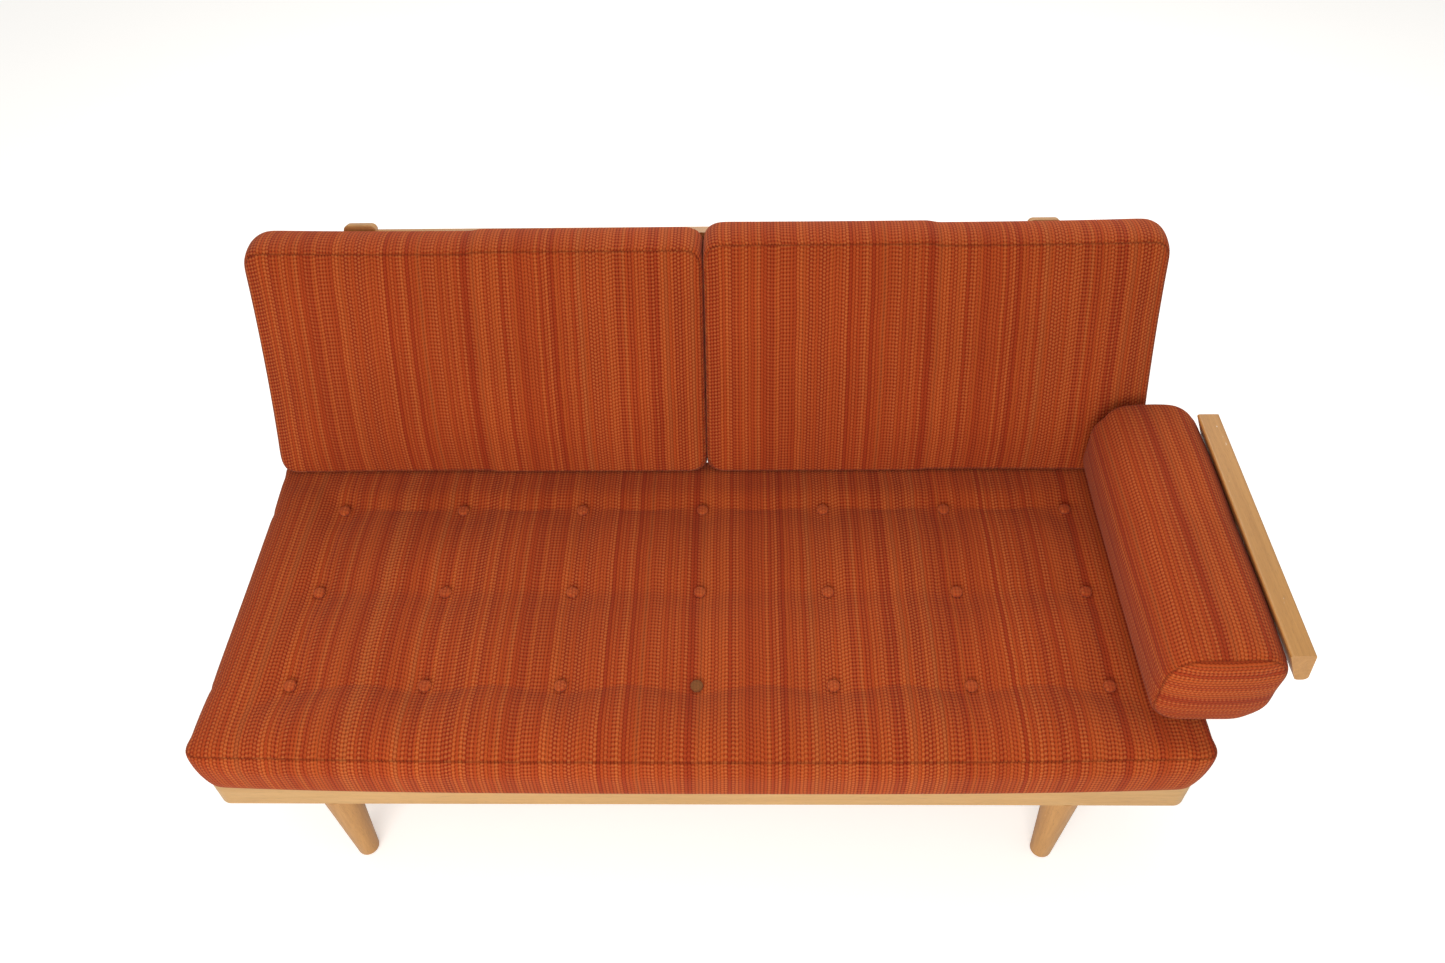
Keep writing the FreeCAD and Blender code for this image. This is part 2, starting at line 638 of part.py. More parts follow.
def back_post(label, side):
    """A flat post with rounded top corners and a mortise for each rail."""
    body = new_body(label + "_timber")
    half = "Sizes.back_post_width / 2"
    front = rectangle(body, label + "_front", "XZ_Plane", "-" + half, 0, half, "Sizes.back_post_length")
    post = pad(body, front, "Sizes.back_post_thick", backward=True)
    top = value("Sizes.back_post_length")
    post = round_edges(body, post, "Sizes.back_post_round",
                       lambda edge: edge_along(edge, Y_AXIS) and edge_lies(edge, Z_AXIS, top))
    round_edges(body, post, "Sizes.edge_round",
                lambda edge: not edge_lies(edge, Z_AXIS, 0) and not edge_along(edge, Y_AXIS))
    tools = []
    margin = "(Sizes.back_rail_height - Sizes.tenon_height) / 2"
    depth = "(Sizes.tenon_length + Sizes.fit_gap)"
    inner = f"(Sizes.back_post_width / 2 - {depth})" if side < 0 else f"(-{half})"
    leaning = backrest_frame().multiply(place(f"{side} * Sizes.back_post_offset"))
    for number, low in enumerate(back_rail_heights(), start=1):
        y = "(Sizes.back_post_thick - Sizes.tenon_thick) / 2 - Sizes.fit_gap"
        spot = leaning.multiply(place(inner, y, f"{low} + {margin} - Sizes.fit_gap"))
        tools.append(box(f"{label}_mortise_{number}", depth, "Sizes.tenon_thick + 2 * Sizes.fit_gap",
                         "Sizes.tenon_height + 2 * Sizes.fit_gap", spot))
    body.Placement = leaning
    return keep(cut(label, body, group(label + "_mortises", tools)), label)


def back_rail(label, low):
    """A rail between the back posts, planed level on top, with a tenon at each end."""
    leaning = backrest_frame().multiply(place(0, 0, low))
    y = "(Sizes.back_post_thick - Sizes.back_rail_thick) / 2"
    board = new_body(label + "_board")
    front_edge = "(Sizes.back_rail_height - Sizes.back_rail_thick * tan(Sizes.back_lean))"
    side_view = outline(board, label + "_side", "YZ_Plane",
                        [(0, 0), ("Sizes.back_rail_thick", 0),
                         ("Sizes.back_rail_thick", "Sizes.back_rail_height"), (0, front_edge)])
    pad(board, side_view, BACK_RAIL_LENGTH)
    board.Placement = leaning.multiply(place(f"-{BACK_RAIL_LENGTH} / 2", y, 0))
    whole = f"({BACK_RAIL_LENGTH} + 2 * Sizes.tenon_length)"
    tongue = box(label + "_tongue", whole, "Sizes.tenon_thick", "Sizes.tenon_height",
                 leaning.multiply(place(f"-{whole} / 2",
                                        "(Sizes.back_post_thick - Sizes.tenon_thick) / 2",
                                        "(Sizes.back_rail_height - Sizes.tenon_height) / 2")))
    return keep(fuse(label, [board, tongue]), label)


def backrest():
    """Two posts and the rails between them."""
    back_post("back_post_left", -1)
    back_post("back_post_right", 1)
    for label, low in zip(("back_top_rail", "back_middle_rail", "back_lower_rail"), back_rail_heights()):
        back_rail(label, low)


# ---------------------------------------------------------------- armrest

def arm_post(label, side):
    """A leaning post, sawn with an upright tenon on top, seen from the front in its own XZ plane.

    The body's own origin is on the end rail's face line, at the rail's top.
    """
    body = new_body(label)
    lean = "tan(Sizes.arm_lean)"
    down = "(Sizes.rail_height - Sizes.socket_foot)"
    rise = f"(Sizes.arm_bar_top - Sizes.arm_bar_height - {RAIL_TOP})"
    thick = "Sizes.arm_post_thick"
    foot_x = f"(Sizes.arm_setback - {down} * {lean} + Sizes.rest_gap * sin(Sizes.arm_lean))"
    foot_z = f"(-{down} + Sizes.rest_gap * cos(Sizes.arm_lean))"
    outer_x = f"({foot_x} + {thick} * cos(Sizes.arm_lean))"
    outer_z = f"({foot_z} - {thick} * sin(Sizes.arm_lean))"
    shoulder = f"(Sizes.arm_setback + {rise} * {lean})"
    broad = f"({thick} / cos(Sizes.arm_lean))"
    tenon = f"({shoulder} + ({broad} - Sizes.arm_tenon_thick) / 2)"
    tenon_top = f"({rise} + Sizes.arm_tenon_height)"
    side_view = outline(body, label + "_side", "XZ_Plane",
                        [(foot_x, foot_z), (outer_x, outer_z), (f"{shoulder} + {broad}", rise),
                         (f"{tenon} + Sizes.arm_tenon_thick", rise),
                         (f"{tenon} + Sizes.arm_tenon_thick", tenon_top), (tenon, tenon_top),
                         (tenon, rise), (shoulder, rise)])
    pad(body, side_view, "Sizes.arm_post_width", backward=True)
    y = f"Sizes.arm_centre_y + {side} * Sizes.arm_post_offset - Sizes.arm_post_width / 2"
    body.Placement = place(ARM_FACE, y, RAIL_TOP)
    return keep(body, label)


def arm_rail():
    """The armrest bar: flat on top, undercut on the inside, with two mortises underneath."""
    body = new_body("arm_rail_timber")
    foot = "(Sizes.arm_bar_inner + Sizes.arm_bar_undercut)"
    low = "(Sizes.arm_bar_top - Sizes.arm_bar_height)"
    section = outline(body, "arm_rail_section", "XZ_Plane",
                      [("Sizes.arm_bar_inner", "Sizes.arm_bar_top"), (foot, low),
                       (f"{foot} + Sizes.arm_bar_foot_width", low),
                       ("Sizes.arm_bar_inner + Sizes.arm_bar_top_width", "Sizes.arm_bar_top")])
    bar = pad(body, section, "Sizes.arm_bar_length", backward=True)
    bottom = value(low)
    top = value("Sizes.arm_bar_top")
    bar = round_edges(body, bar, "Sizes.arm_bar_foot_round",
                      lambda edge: edge_along(edge, Y_AXIS) and edge_lies(edge, Z_AXIS, bottom))
    round_edges(body, bar, "Sizes.arm_bar_top_round",
                lambda edge: edge_along(edge, Y_AXIS) and edge_lies(edge, Z_AXIS, top))
    start = "(Sizes.arm_centre_y - Sizes.arm_bar_length / 2)"
    body.Placement = place(ARM_FACE, start, 0)
    shoulder = f"(Sizes.arm_setback + ({low} - {RAIL_TOP}) * tan(Sizes.arm_lean))"
    broad = "(Sizes.arm_post_thick / cos(Sizes.arm_lean))"
    tenon = f"({ARM_FACE} + {shoulder} + ({broad} - Sizes.arm_tenon_thick) / 2)"
    tools = []
    for number, side in enumerate((-1, 1), start=1):
        y = f"Sizes.arm_centre_y + {side} * Sizes.arm_post_offset - Sizes.arm_post_width / 2"
        tools.append(box(f"arm_mortise_{number}", "Sizes.arm_tenon_thick + 2 * Sizes.fit_gap",
                         "Sizes.arm_post_width + 2 * Sizes.fit_gap",
                         "Sizes.arm_tenon_height + Sizes.fit_gap",
                         place(f"{tenon} - Sizes.fit_gap", f"{y} - Sizes.fit_gap", low)))
    return keep(cut("arm_rail", body, group("arm_mortises", tools)), "arm_rail")


def armrest():
    """Two posts and the bar on top of them."""
    arm_post("arm_post_front", -1)
    arm_post("arm_post_rear", 1)
    arm_rail()


# ---------------------------------------------------------------- soft parts

def button_centres():
    """Centres of the buttons, as numbers, row by row."""
    columns = int(value("Sizes.button_columns"))
    rows = int(value("Sizes.button_rows"))
    return [((column - (columns - 1) / 2) * value("Sizes.button_pitch_x"),
             (row - (rows - 1) / 2) * value("Sizes.button_pitch_y"))
            for row in range(rows) for column in range(columns)]


def mattress():
    """A rounded slab with a shallow well on each side for every button and tuft disc."""
    body = new_body("mattress")
    slab = rectangle(body, "mattress_plan", "XY_Plane", "-Sizes.mattress_length / 2",
                     "-Sizes.mattress_depth / 2", "Sizes.mattress_length / 2", "Sizes.mattress_depth / 2")
    feature = pad(body, slab, "Sizes.mattress_thick")
    feature = round_edges(body, feature, "Sizes.mattress_corner", lambda edge: edge_along(edge, Z_AXIS))
    round_edges(body, feature, "Sizes.mattress_round", lambda edge: not edge_along(edge, Z_AXIS))
    low_wells = circles(body, "mattress_low_wells", "XY_Plane", button_centres(), "Sizes.well_radius")
    pocket(body, low_wells, "Sizes.disc_height + Sizes.rest_gap", backward=True)
    top_wells = circles(body, "mattress_top_wells", "XY_Plane", button_centres(), "Sizes.well_radius")
    top_wells.setExpression("AttachmentOffset.Base.z", "Sizes.mattress_thick")
    doc.recompute()
    pocket(body, top_wells, "Sizes.well_depth")
    body.Placement = place(0, 0, MATTRESS_BOTTOM)
    return keep(body, "mattress")


def tufting():
    """The covered buttons in the mattress's top and the discs that hold them underneath."""
    buttons = []
    discs = []
    for number, (x, y) in enumerate(button_centres(), start=1):
        dome = doc.addObject("Part::Ellipsoid", f"button_{number}")
        bind(dome, Radius1="Sizes.button_height / 2", Radius2="Sizes.button_radius",
             Radius3="Sizes.button_radius")
        dome.Placement = place(x, y, f"{SEAT_TOP} - Sizes.well_depth + Sizes.button_height / 2")
        buttons.append(dome)
        discs.append(cylinder(f"disc_{number}", "Sizes.button_radius", "Sizes.disc_height",
                              place(x, y, f"{MATTRESS_BOTTOM} + Sizes.rest_gap")))
    keep(group("mattress_buttons", buttons), "mattress_buttons")
    keep(group("mattress_tuft_discs", discs), "mattress_tuft_discs")


def back_cushion(label, start, width, height):
    """A leaning, slumped cushion with a level underside: its side view is raised along the bed."""
    body = new_body(label)
    lean = "Sizes.back_lean"
    top_y = f"({height} * sin({lean}))"
    top_z = f"({height} * cos({lean}))"
    side_view = outline(body, label + "_side", "YZ_Plane",
                        [(0, 0), (f"Sizes.cushion_thick / cos({lean})", 0),
                         (f"{top_y} + Sizes.cushion_thick * cos({lean}) + Sizes.cushion_slump * sin({lean})",
                          f"{top_z} - Sizes.cushion_thick * sin({lean}) + Sizes.cushion_slump * cos({lean})"),
                         (top_y, top_z)])
    feature = pad(body, side_view, width)
    round_edges(body, feature, "Sizes.cushion_round", any_edge)
    rear_plane = (f"Sizes.bed_depth / 2 + Sizes.back_setback + ({SEAT_REST} - {RAIL_TOP}) * tan({lean})"
                  f" - Sizes.rest_gap / cos({lean})")
    body.Placement = place(start, f"{rear_plane} - Sizes.cushion_thick / cos({lean})", SEAT_REST)
    return keep(body, label)


def bolster():
    """A rounded bar of padding that lies on the seat against the armrest."""
    body = new_body("bolster")
    section = rectangle(body, "bolster_section", "XZ_Plane", 0, 0,
                        "Sizes.bolster_width", "Sizes.bolster_height")
    feature = pad(body, section, "Sizes.bolster_length", backward=True)
    feature = round_edges(body, feature, "Sizes.bolster_round", lambda edge: edge_along(edge, Y_AXIS))
    round_edges(body, feature, "Sizes.bolster_end_round", lambda edge: not edge_along(edge, Y_AXIS))
    body.Placement = place("Sizes.bolster_start_x", "Sizes.bolster_back_y - Sizes.bolster_length",
                           SEAT_REST)
    return keep(body, "bolster")


def soft_parts():
    """Mattress, buttons, two back cushions and the bolster."""
    mattress()
    tufting()
    back_cushion("back_cushion_left", "Sizes.left_cushion_start", "Sizes.left_cushion_width",
                 "Sizes.left_cushion_height")
    back_cushion("back_cushion_right", "Sizes.right_cushion_start", "Sizes.right_cushion_width",
                 "Sizes.right_cushion_height")
    bolster()


# ---------------------------------------------------------------- finish

def overall_box():
    """The box around every node."""
    whole = FreeCAD.BoundBox()
    for item in nodes:
        whole.add(item.Shape.optimalBoundingBox(False, False))
    return whole


def move_origin():
    """Move every node together so that the origin is under the middle of the overall box."""
    whole = overall_box()
    shift = FreeCAD.Vector(-(whole.XMin + whole.XMax) / 2, -(whole.YMin + whole.YMax) / 2, -whole.ZMin)
    for item in nodes:
        item.Placement = FreeCAD.Placement(shift, FreeCAD.Rotation()).multiply(item.Placement)
    doc.recompute()
    print("origin moved by", [round(number, 3) for number in shift])


def check():
    """Stop if any object failed or any node's shape can't be used."""
    for item in doc.Objects:
        if "Invalid" in item.State or "Error" in item.State:
            raise RuntimeError(f"{item.Name} is {item.State}")
    for item in nodes:
        if item.Shape.isNull() or not item.Shape.isValid() or item.Shape.Volume <= 0:
            raise RuntimeError(f"{item.Label} has no valid solid")


def export():
    """Write one STEP file for each node."""
    os.makedirs("parts", exist_ok=True)
    for item in nodes:
        item.Shape.exportStep(f"parts/{item.Label}.step")
        around = item.Shape.optimalBoundingBox(False, False)
        spans = [(around.XMin, around.XMax), (around.YMin, around.YMax), (around.ZMin, around.ZMax)]
        print(item.Label, len(item.Shape.Solids), [(round(low, 1), round(high, 1)) for low, high in spans])


sizes = make_sheet()
frame()
backrest()
armrest()
soft_parts()
doc.recompute()
move_origin()
check()
export()
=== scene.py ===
import math
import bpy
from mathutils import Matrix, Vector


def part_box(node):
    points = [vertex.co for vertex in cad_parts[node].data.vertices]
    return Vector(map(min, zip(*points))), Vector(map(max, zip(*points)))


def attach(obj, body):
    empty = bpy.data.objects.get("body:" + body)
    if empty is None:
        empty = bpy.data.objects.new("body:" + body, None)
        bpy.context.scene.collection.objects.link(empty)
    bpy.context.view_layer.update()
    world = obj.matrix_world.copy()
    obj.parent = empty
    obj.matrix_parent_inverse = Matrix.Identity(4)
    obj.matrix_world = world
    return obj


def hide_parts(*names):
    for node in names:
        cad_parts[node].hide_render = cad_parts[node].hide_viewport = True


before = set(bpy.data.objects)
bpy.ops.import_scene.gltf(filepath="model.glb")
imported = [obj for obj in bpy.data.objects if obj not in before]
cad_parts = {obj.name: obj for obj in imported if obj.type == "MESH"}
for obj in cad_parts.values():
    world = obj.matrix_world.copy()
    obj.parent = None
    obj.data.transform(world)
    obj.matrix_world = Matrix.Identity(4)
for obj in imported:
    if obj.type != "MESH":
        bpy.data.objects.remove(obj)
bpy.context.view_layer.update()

from types import SimpleNamespace

import bpy
import numpy as np
from bpy.props import FloatProperty, FloatVectorProperty, IntProperty, PointerProperty
from mathutils import Matrix, Vector

bl_info = {
    "name": "Buttoned Daybed",
    "version": (1, 0, 0),
    "blender": (4, 5, 0),
    "location": "View3D > Sidebar > Daybed",
    "description": "Upholstery, timber finishes and a plain studio for the daybed",
    "category": "Object",
}

MATTRESS_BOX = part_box("mattress")
BUTTONS_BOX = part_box("mattress_buttons")
BOLSTER_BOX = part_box("bolster")
CUSHION_BOXES = (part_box("back_cushion_left"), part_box("back_cushion_right"))
REAR_RAIL_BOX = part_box("rear_rail")
SEAT_TOP = MATTRESS_BOX[1].z
SEAT_MIDDLE = (MATTRESS_BOX[0] + MATTRESS_BOX[1]) / 2
HAIR = 0.0005           # clearance that stands in for contact, in metres
EDGE = 1 - 1e-9         # a share past this lies on the edge itself
FILLING_FRAMES = 20     # length of the cloth simulation


# ---------------------------------------------------------------- settings

def metres(name, default, description, low=0.0):
    """A length for the panel."""
    return FloatProperty(name=name, description=description, default=default, min=low, unit="LENGTH")


def paint(name, default, description):
    """A colour for the panel."""
    return FloatVectorProperty(name=name, description=description, default=default, min=0, max=1,
                               subtype="COLOR")


class DAYBED_PG_mattress(bpy.types.PropertyGroup):
    """Sizes of the buttoned mattress."""
    seam_drop: metres("Seam Drop", 0.0095, "Highest point of the top down to its seam")
    corner: metres("Corner", 0.03, "Plan radius of the four corners", 0.005)
    roll: metres("Edge Roll", 0.009, "Radius where panels turn into the boxing", 0.002)
    boxing: metres("Boxing Swell", 0.006, "How far the boxing swells at mid height")
    taper: metres("Foot Taper", 0.012, "How far each end leans in at the bottom")
    dimple: metres("Dimple", 0.0120, "Depth of the hollow round each button")
    dimple_reach: metres("Dimple Reach", 0.026, "How far a hollow spreads from its button", 0.005)
    pull: metres("Pull Lines", 0.0070, "Depth of the furrow between buttons of a row")
    step: metres("Mesh Step", 0.018, "Distance between the mesh's lines", 0.008)
    pitch_long: metres("Button Pitch", 0.2587, "Button to button along the bed", 0.05)
    pitch_deep: metres("Row Pitch", 0.2224, "Row to row across the bed", 0.05)
    columns: IntProperty(name="Columns", description="Buttons along the bed", default=7, min=1)
    rows: IntProperty(name="Rows", description="Buttons across the bed", default=3, min=1)
    overhang: metres("End Overhang", 0.0125, "How far each end's upper seam leans out")
    settle: FloatProperty(name="Settling", description="Share of the hollows that filling doesn't lift",
                          default=0.55, min=0.0)
    bow: metres("Front Bow", 0.012, "How far the front side bellies over the rail")
    swell: metres("Open Swell", 0.008, "Extra rise where nothing lies on the mattress")
    button: metres("Button Radius", 0.0121, "Radius of a covered button", 0.003)
    button_rise: metres("Button Rise", 0.0080, "Height of a covered button's dome", 0.001)


class DAYBED_PG_cushions(bpy.types.PropertyGroup):
    """Sizes of the two back cushions."""
    lean: FloatProperty(name="Lean", description="Backrest's angle from upright",
                        default=math.radians(20), subtype="ANGLE")
    thickness: metres("Thickness", 0.112, "Front to back, at the seams", 0.02)
    left_height: metres("Left Height", 0.503, "Left cushion along its lean", 0.1)
    right_height: metres("Right Height", 0.513, "Right cushion along its lean", 0.1)
    corner: metres("Corner", 0.034, "Radius of the panels' corners", 0.005)
    roll: metres("Edge Roll", 0.012, "Radius where panels turn into the boxing", 0.002)
    crown: metres("Crown", 0.019, "How far the front panel stands out in its middle")
    boxing: metres("Boxing Swell", 0.015, "How far the boxing swells at its middle")
    waist: metres("Waist", 0.004, "How far the sides pull in between the corners")
    taper: metres("Head Taper", 0.007, "How far each side leans in at the top")
    slump: metres("Slump", 0.018, "Rear panel above the front one, along the lean")
    set_back: metres("Set Back", 0.028, "From the rear rail to the backrest's face, at the rail's top")
    step: metres("Mesh Step", 0.015, "Distance between the mesh's lines", 0.008)


class DAYBED_PG_bolster(bpy.types.PropertyGroup):
    """Sizes of the bolster."""
    corner: metres("Roundness", 0.067, "Radius of the long edges", 0.02)
    roll: metres("End Roll", 0.014, "Radius where the end panels turn into the tube", 0.002)
    front_crown: metres("Front Crown", 0.012, "How far the front end stands out")
    back_crown: metres("Back Crown", 0.005, "How far the back end stands out")
    rear_bow: metres("Rear Bow", 0.022, "How far the back end's upper seam bows back")
    bar_slope: FloatProperty(name="Bar Slope", description="Run over drop of the armrest's inner face",
                             default=0.4167, min=0.0)
    bar_gap: metres("Bar Gap", 0.001, "Clearance to the armrest's sloping face")
    waist: metres("Waist", 0.004, "How far the tube draws in towards its ends")
    shoulder: FloatProperty(name="Shoulder", description="Share by which the edge beside the bar swells",
                            default=0.11, min=0.0)
    step: metres("Mesh Step", 0.014, "Distance between the mesh's lines", 0.008)


class DAYBED_PG_wool(bpy.types.PropertyGroup):
    """The striped wool's threads and colours."""
    column: metres("Column", 0.0066, "Width of one column of stitches", 0.001)
    stitch: metres("Stitch", 0.0078, "Length of one stitch along its column", 0.001)
    red: paint("Red", (0.312, 0.0305, 0.0070), "Deepest stripe")
    rust: paint("Rust", (0.365, 0.0440, 0.0090), "Ground colour")
    orange: paint("Orange", (0.420, 0.0630, 0.0115), "Brightest stripe")
    olive: paint("Olive", (0.345, 0.064, 0.0165), "Brown stripe")
    light: paint("Light Stitch", (0.62, 0.185, 0.048), "Raised stitches")
    # Button colour: a painted highlight that lightens the wool on the button domes, standing in for light
    # catching them
    button: paint("Button Painted Highlight", (0.56, 0.120, 0.036), "Painted highlight on the buttons' wool")
    worn: paint("Worn", (0.16, 0.085, 0.030), "Wool that has aged to an olive brown")


class DAYBED_PG_timber(bpy.types.PropertyGroup):
    """Colours of the timbers."""
    beech_pale: paint("Beech Pale", (0.68, 0.400, 0.150), "Rails, light grain")
    beech_deep: paint("Beech Deep", (0.56, 0.30, 0.095), "Rails, dark grain")
    golden_pale: paint("Golden Pale", (0.67, 0.340, 0.098), "Legs and bar, light grain")
    golden_deep: paint("Golden Deep", (0.46, 0.210, 0.054), "Legs and bar, dark grain")
    slat_pale: paint("Slat Pale", (0.78, 0.62, 0.40), "Slats, light grain")
    slat_deep: paint("Slat Deep", (0.62, 0.44, 0.24), "Slats, dark grain")


class DAYBED_PG_studio(bpy.types.PropertyGroup):
    """Floor, lights and camera."""
    floor: paint("Floor", (0.93, 0.92, 0.90), "Colour of the floor")
    floor_size: metres("Floor Size", 16.0, "Side of the floor", 4.0)
    sky: FloatProperty(name="Sky", description="Strength of the light from all round", default=0.47, min=0)
    key: FloatProperty(name="Key", description="Power of the soft light in front", default=65.0,
                       min=0, unit="POWER")
    fill: FloatProperty(name="Fill", description="Power of the soft light above and behind",
                        default=52.0, min=0, unit="POWER")
    eye: FloatVectorProperty(name="Camera Place", description="Where the camera stands",
                             subtype="TRANSLATION", default=(0.0351, -1.5424, 2.2971))
    yaw: FloatProperty(name="Yaw", description="Camera's turn to the right", subtype="ANGLE",
                       default=math.radians(-1.837))
    pitch: FloatProperty(name="Pitch", description="Camera's tilt downwards", subtype="ANGLE",
                         default=math.radians(47.017))
    roll: FloatProperty(name="Roll", description="Camera's turn about its own line of sight",
                        subtype="ANGLE", default=math.radians(-1.551))
    lens: FloatProperty(name="Lens", description="Focal length on a 36 mm sensor", default=28.634, min=5)


# ---------------------------------------------------------------- node helpers

def join(tree, made, feeds):
    """Join each input of a node to a socket, or set it to a value."""
    for name, source in feeds.items():
        if isinstance(source, bpy.types.NodeSocket):
            tree.links.new(source, made.inputs[name])
        else:
            made.inputs[name].default_value = source


def add_node(tree, kind, feeds=None, **settings):
    """A shader node with its settings and its inputs."""
    made = tree.nodes.new(kind)
    for name, value in settings.items():
        setattr(made, name, value)
    join(tree, made, feeds or {})
    return made


def calc(tree, operation, *terms):
    """One step of arithmetic on numbers or sockets."""
    return add_node(tree, "ShaderNodeMath", dict(enumerate(terms)), operation=operation).outputs[0]


def times(tree, first, *others):
    """The product of numbers or sockets."""
    for other in others:
        first = calc(tree, "MULTIPLY", first, other)
    return first


def remap(tree, value, low, high, to_low=0.0, to_high=1.0):
    """A value taken from one span to another and held inside it."""
    return add_node(tree, "ShaderNodeMapRange", {"Value": value, "From Min": low, "From Max": high,
                                                 "To Min": to_low, "To Max": to_high}).outputs[0]


def mix_colour(tree, factor, first, second, mode="MIX"):
    """Two colours mixed by a factor."""
    return add_node(tree, "ShaderNodeMix", {0: factor, 6: first, 7: second}, data_type="RGBA",
                    blend_type=mode).outputs[2]


def shaded(tree, colour, shade):
    """A colour darkened or lightened by a number."""
    grey = add_node(tree, "ShaderNodeCombineColor", {0: shade, 1: shade, 2: shade}).outputs[0]
    return mix_colour(tree, 1.0, colour, grey, "MULTIPLY")


def bumped(tree, height, strength, distance):
    """The surface's normal, tilted by a height."""
    return add_node(tree, "ShaderNodeBump", {"Strength": strength, "Distance": distance,
                                             "Height": height}).outputs[0]


def scaled(tree, vector, amounts):
    """A vector stretched by an amount along each axis."""
    return add_node(tree, "ShaderNodeVectorMath", {0: vector, 1: amounts}, operation="MULTIPLY").outputs[0]


def noise(tree, vector, scale, detail=2.0, roughness=0.5, distortion=0.0):
    """Solid noise, from 0 to 1 around 0.5."""
    return add_node(tree, "ShaderNodeTexNoise", {"Vector": vector, "Scale": scale, "Detail": detail,
                                                 "Roughness": roughness, "Distortion": distortion}).outputs[0]


def line_noise(tree, place, scale):
    """Noise along one number only."""
    return add_node(tree, "ShaderNodeTexNoise", {"W": place, "Scale": scale, "Detail": 1.0},
                    noise_dimensions="1D").outputs[0]


def per_thread(tree, number, shift):
    """One steady random number for each whole number."""
    return add_node(tree, "ShaderNodeTexWhiteNoise", {"W": calc(tree, "ADD", number, shift)},
                    noise_dimensions="1D").outputs[0]


def new_group(name, inputs, outputs):
    """An empty shader node group with named inputs and outputs, and its two end nodes."""
    tree = bpy.data.node_groups.new(name, "ShaderNodeTree")
    for way, sockets in (("INPUT", inputs), ("OUTPUT", outputs)):
        for label, kind in sockets:
            tree.interface.new_socket(name=label, in_out=way, socket_type=kind)
    return tree, tree.nodes.new("NodeGroupInput"), tree.nodes.new("NodeGroupOutput")


def new_material(name):
    """An empty material, its tree and its Principled shader."""
    material = bpy.data.materials.new(name)
    material.use_nodes = True
    tree = material.node_tree
    tree.nodes.clear()
    shader = tree.nodes.new("ShaderNodeBsdfPrincipled")
    output = tree.nodes.new("ShaderNodeOutputMaterial")
    tree.links.new(shader.outputs[0], output.inputs[0])
    return material, tree, shader


def rgba(colour):
    """A colour with full opacity."""
    return (*colour, 1.0)


# ---------------------------------------------------------------- finishes

def weave_group():
    """The striped wool's colour, height and roughness at a place on the cloth, in metres.

    The cloth's first coordinate runs across the stripes. It is cut into columns, one thread group
    each. A column's colour comes from two noises across the cloth and one random number of its own.
    Each column is rounded like a sine's half wave, and carries a chain of raised light stitches, a
    squared sine along the column. Fine weft lines and fuzz lie over everything.
    """
    colour, number = "NodeSocketColor", "NodeSocketFloat"
    tree, enter, leave = new_group(
        "striped wool weave",
        (("Cloth", "NodeSocketVector"), ("Column", number), ("Stitch", number), ("Seam", number),
         ("Red", colour), ("Rust", colour), ("Orange", colour), ("Olive", colour), ("Light", colour)),
        (("Color", colour), ("Height", number), ("Roughness", number)))
    cloth = enter.outputs["Cloth"]
    parts = add_node(tree, "ShaderNodeSeparateXYZ", {0: cloth})
    drift = calc(tree, "MULTIPLY_ADD", noise(tree, cloth, 9.0), 0.004, -0.002)
    across = calc(tree, "ADD", parts.outputs[0], drift)
    along = parts.outputs[1]
    column = calc(tree, "DIVIDE", across, enter.outputs["Column"])
    index = calc(tree, "FLOOR", column)
    inside = calc(tree, "FRACT", column)
    own = per_thread(tree, index, 3.1)
    phase = per_thread(tree, index, 47.7)

    value = calc(tree, "MULTIPLY_ADD", line_noise(tree, across, 34.0), 0.55,
                 times(tree, line_noise(tree, across, 88.0), 0.45))
    value = remap(tree, value, 0.34, 0.66)
    value = calc(tree, "ADD", value, calc(tree, "MULTIPLY_ADD", own, 0.26, -0.13))
    stripe = mix_colour(tree, remap(tree, value, 0.12, 0.42), enter.outputs["Red"], enter.outputs["Rust"])
    stripe = mix_colour(tree, remap(tree, value, 0.45, 0.80), stripe, enter.outputs["Orange"])
    stripe = mix_colour(tree, remap(tree, value, 0.86, 1.0, 0.0, 0.7), stripe, enter.outputs["Olive"])

    hump = calc(tree, "POWER", calc(tree, "SINE", times(tree, inside, math.pi)), 0.55)
    turn = calc(tree, "ADD", calc(tree, "DIVIDE", along, enter.outputs["Stitch"]), phase)
    bead = calc(tree, "SINE", times(tree, calc(tree, "FRACT", turn), math.pi))
    bead = times(tree, calc(tree, "POWER", bead, 2.0), hump)
    strength = remap(tree, per_thread(tree, index, 91.3), 0.10, 0.95, 0.12, 0.52)
    raised = times(tree, bead, strength)
    weft = calc(tree, "SINE", times(tree, along, 2 * math.pi / 0.0026))
    dash = times(tree, calc(tree, "ADD", turn, 0.37), 2 * math.pi)
    dash = remap(tree, calc(tree, "SINE", dash), -1.0, 1.0, 0.12, 0.80)
    fuzz = noise(tree, cloth, 950.0, 2.0)
    worn = noise(tree, cloth, 4.5, 3.0)

    edge = remap(tree, hump, 0.25, 0.95, 1.0, 0.0)
    shade = times(tree, calc(tree, "SUBTRACT", 1.12, times(tree, edge, dash)),
                  remap(tree, weft, -1.0, 1.0, 0.93, 1.05),
                  remap(tree, fuzz, 0.2, 0.8, 0.66, 1.32),
                  remap(tree, worn, 0.25, 0.75, 0.93, 1.07),
                  remap(tree, enter.outputs["Seam"], 0.35, 1.0, 1.0, 0.6))
    height = calc(tree, "MULTIPLY_ADD", hump, 0.45, times(tree, raised, 0.8))
    height = calc(tree, "ADD", height, times(tree, weft, 0.05))
    height = calc(tree, "ADD", height, times(tree, fuzz, 0.25))
    height = calc(tree, "SUBTRACT", height, times(tree, enter.outputs["Seam"], 1.2))
    join(tree, leave, {
        "Color": shaded(tree, mix_colour(tree, raised, stripe, enter.outputs["Light"]), shade),
        "Height": height, "Roughness": remap(tree, fuzz, 0.2, 0.8, 0.82, 0.98)})
    return tree


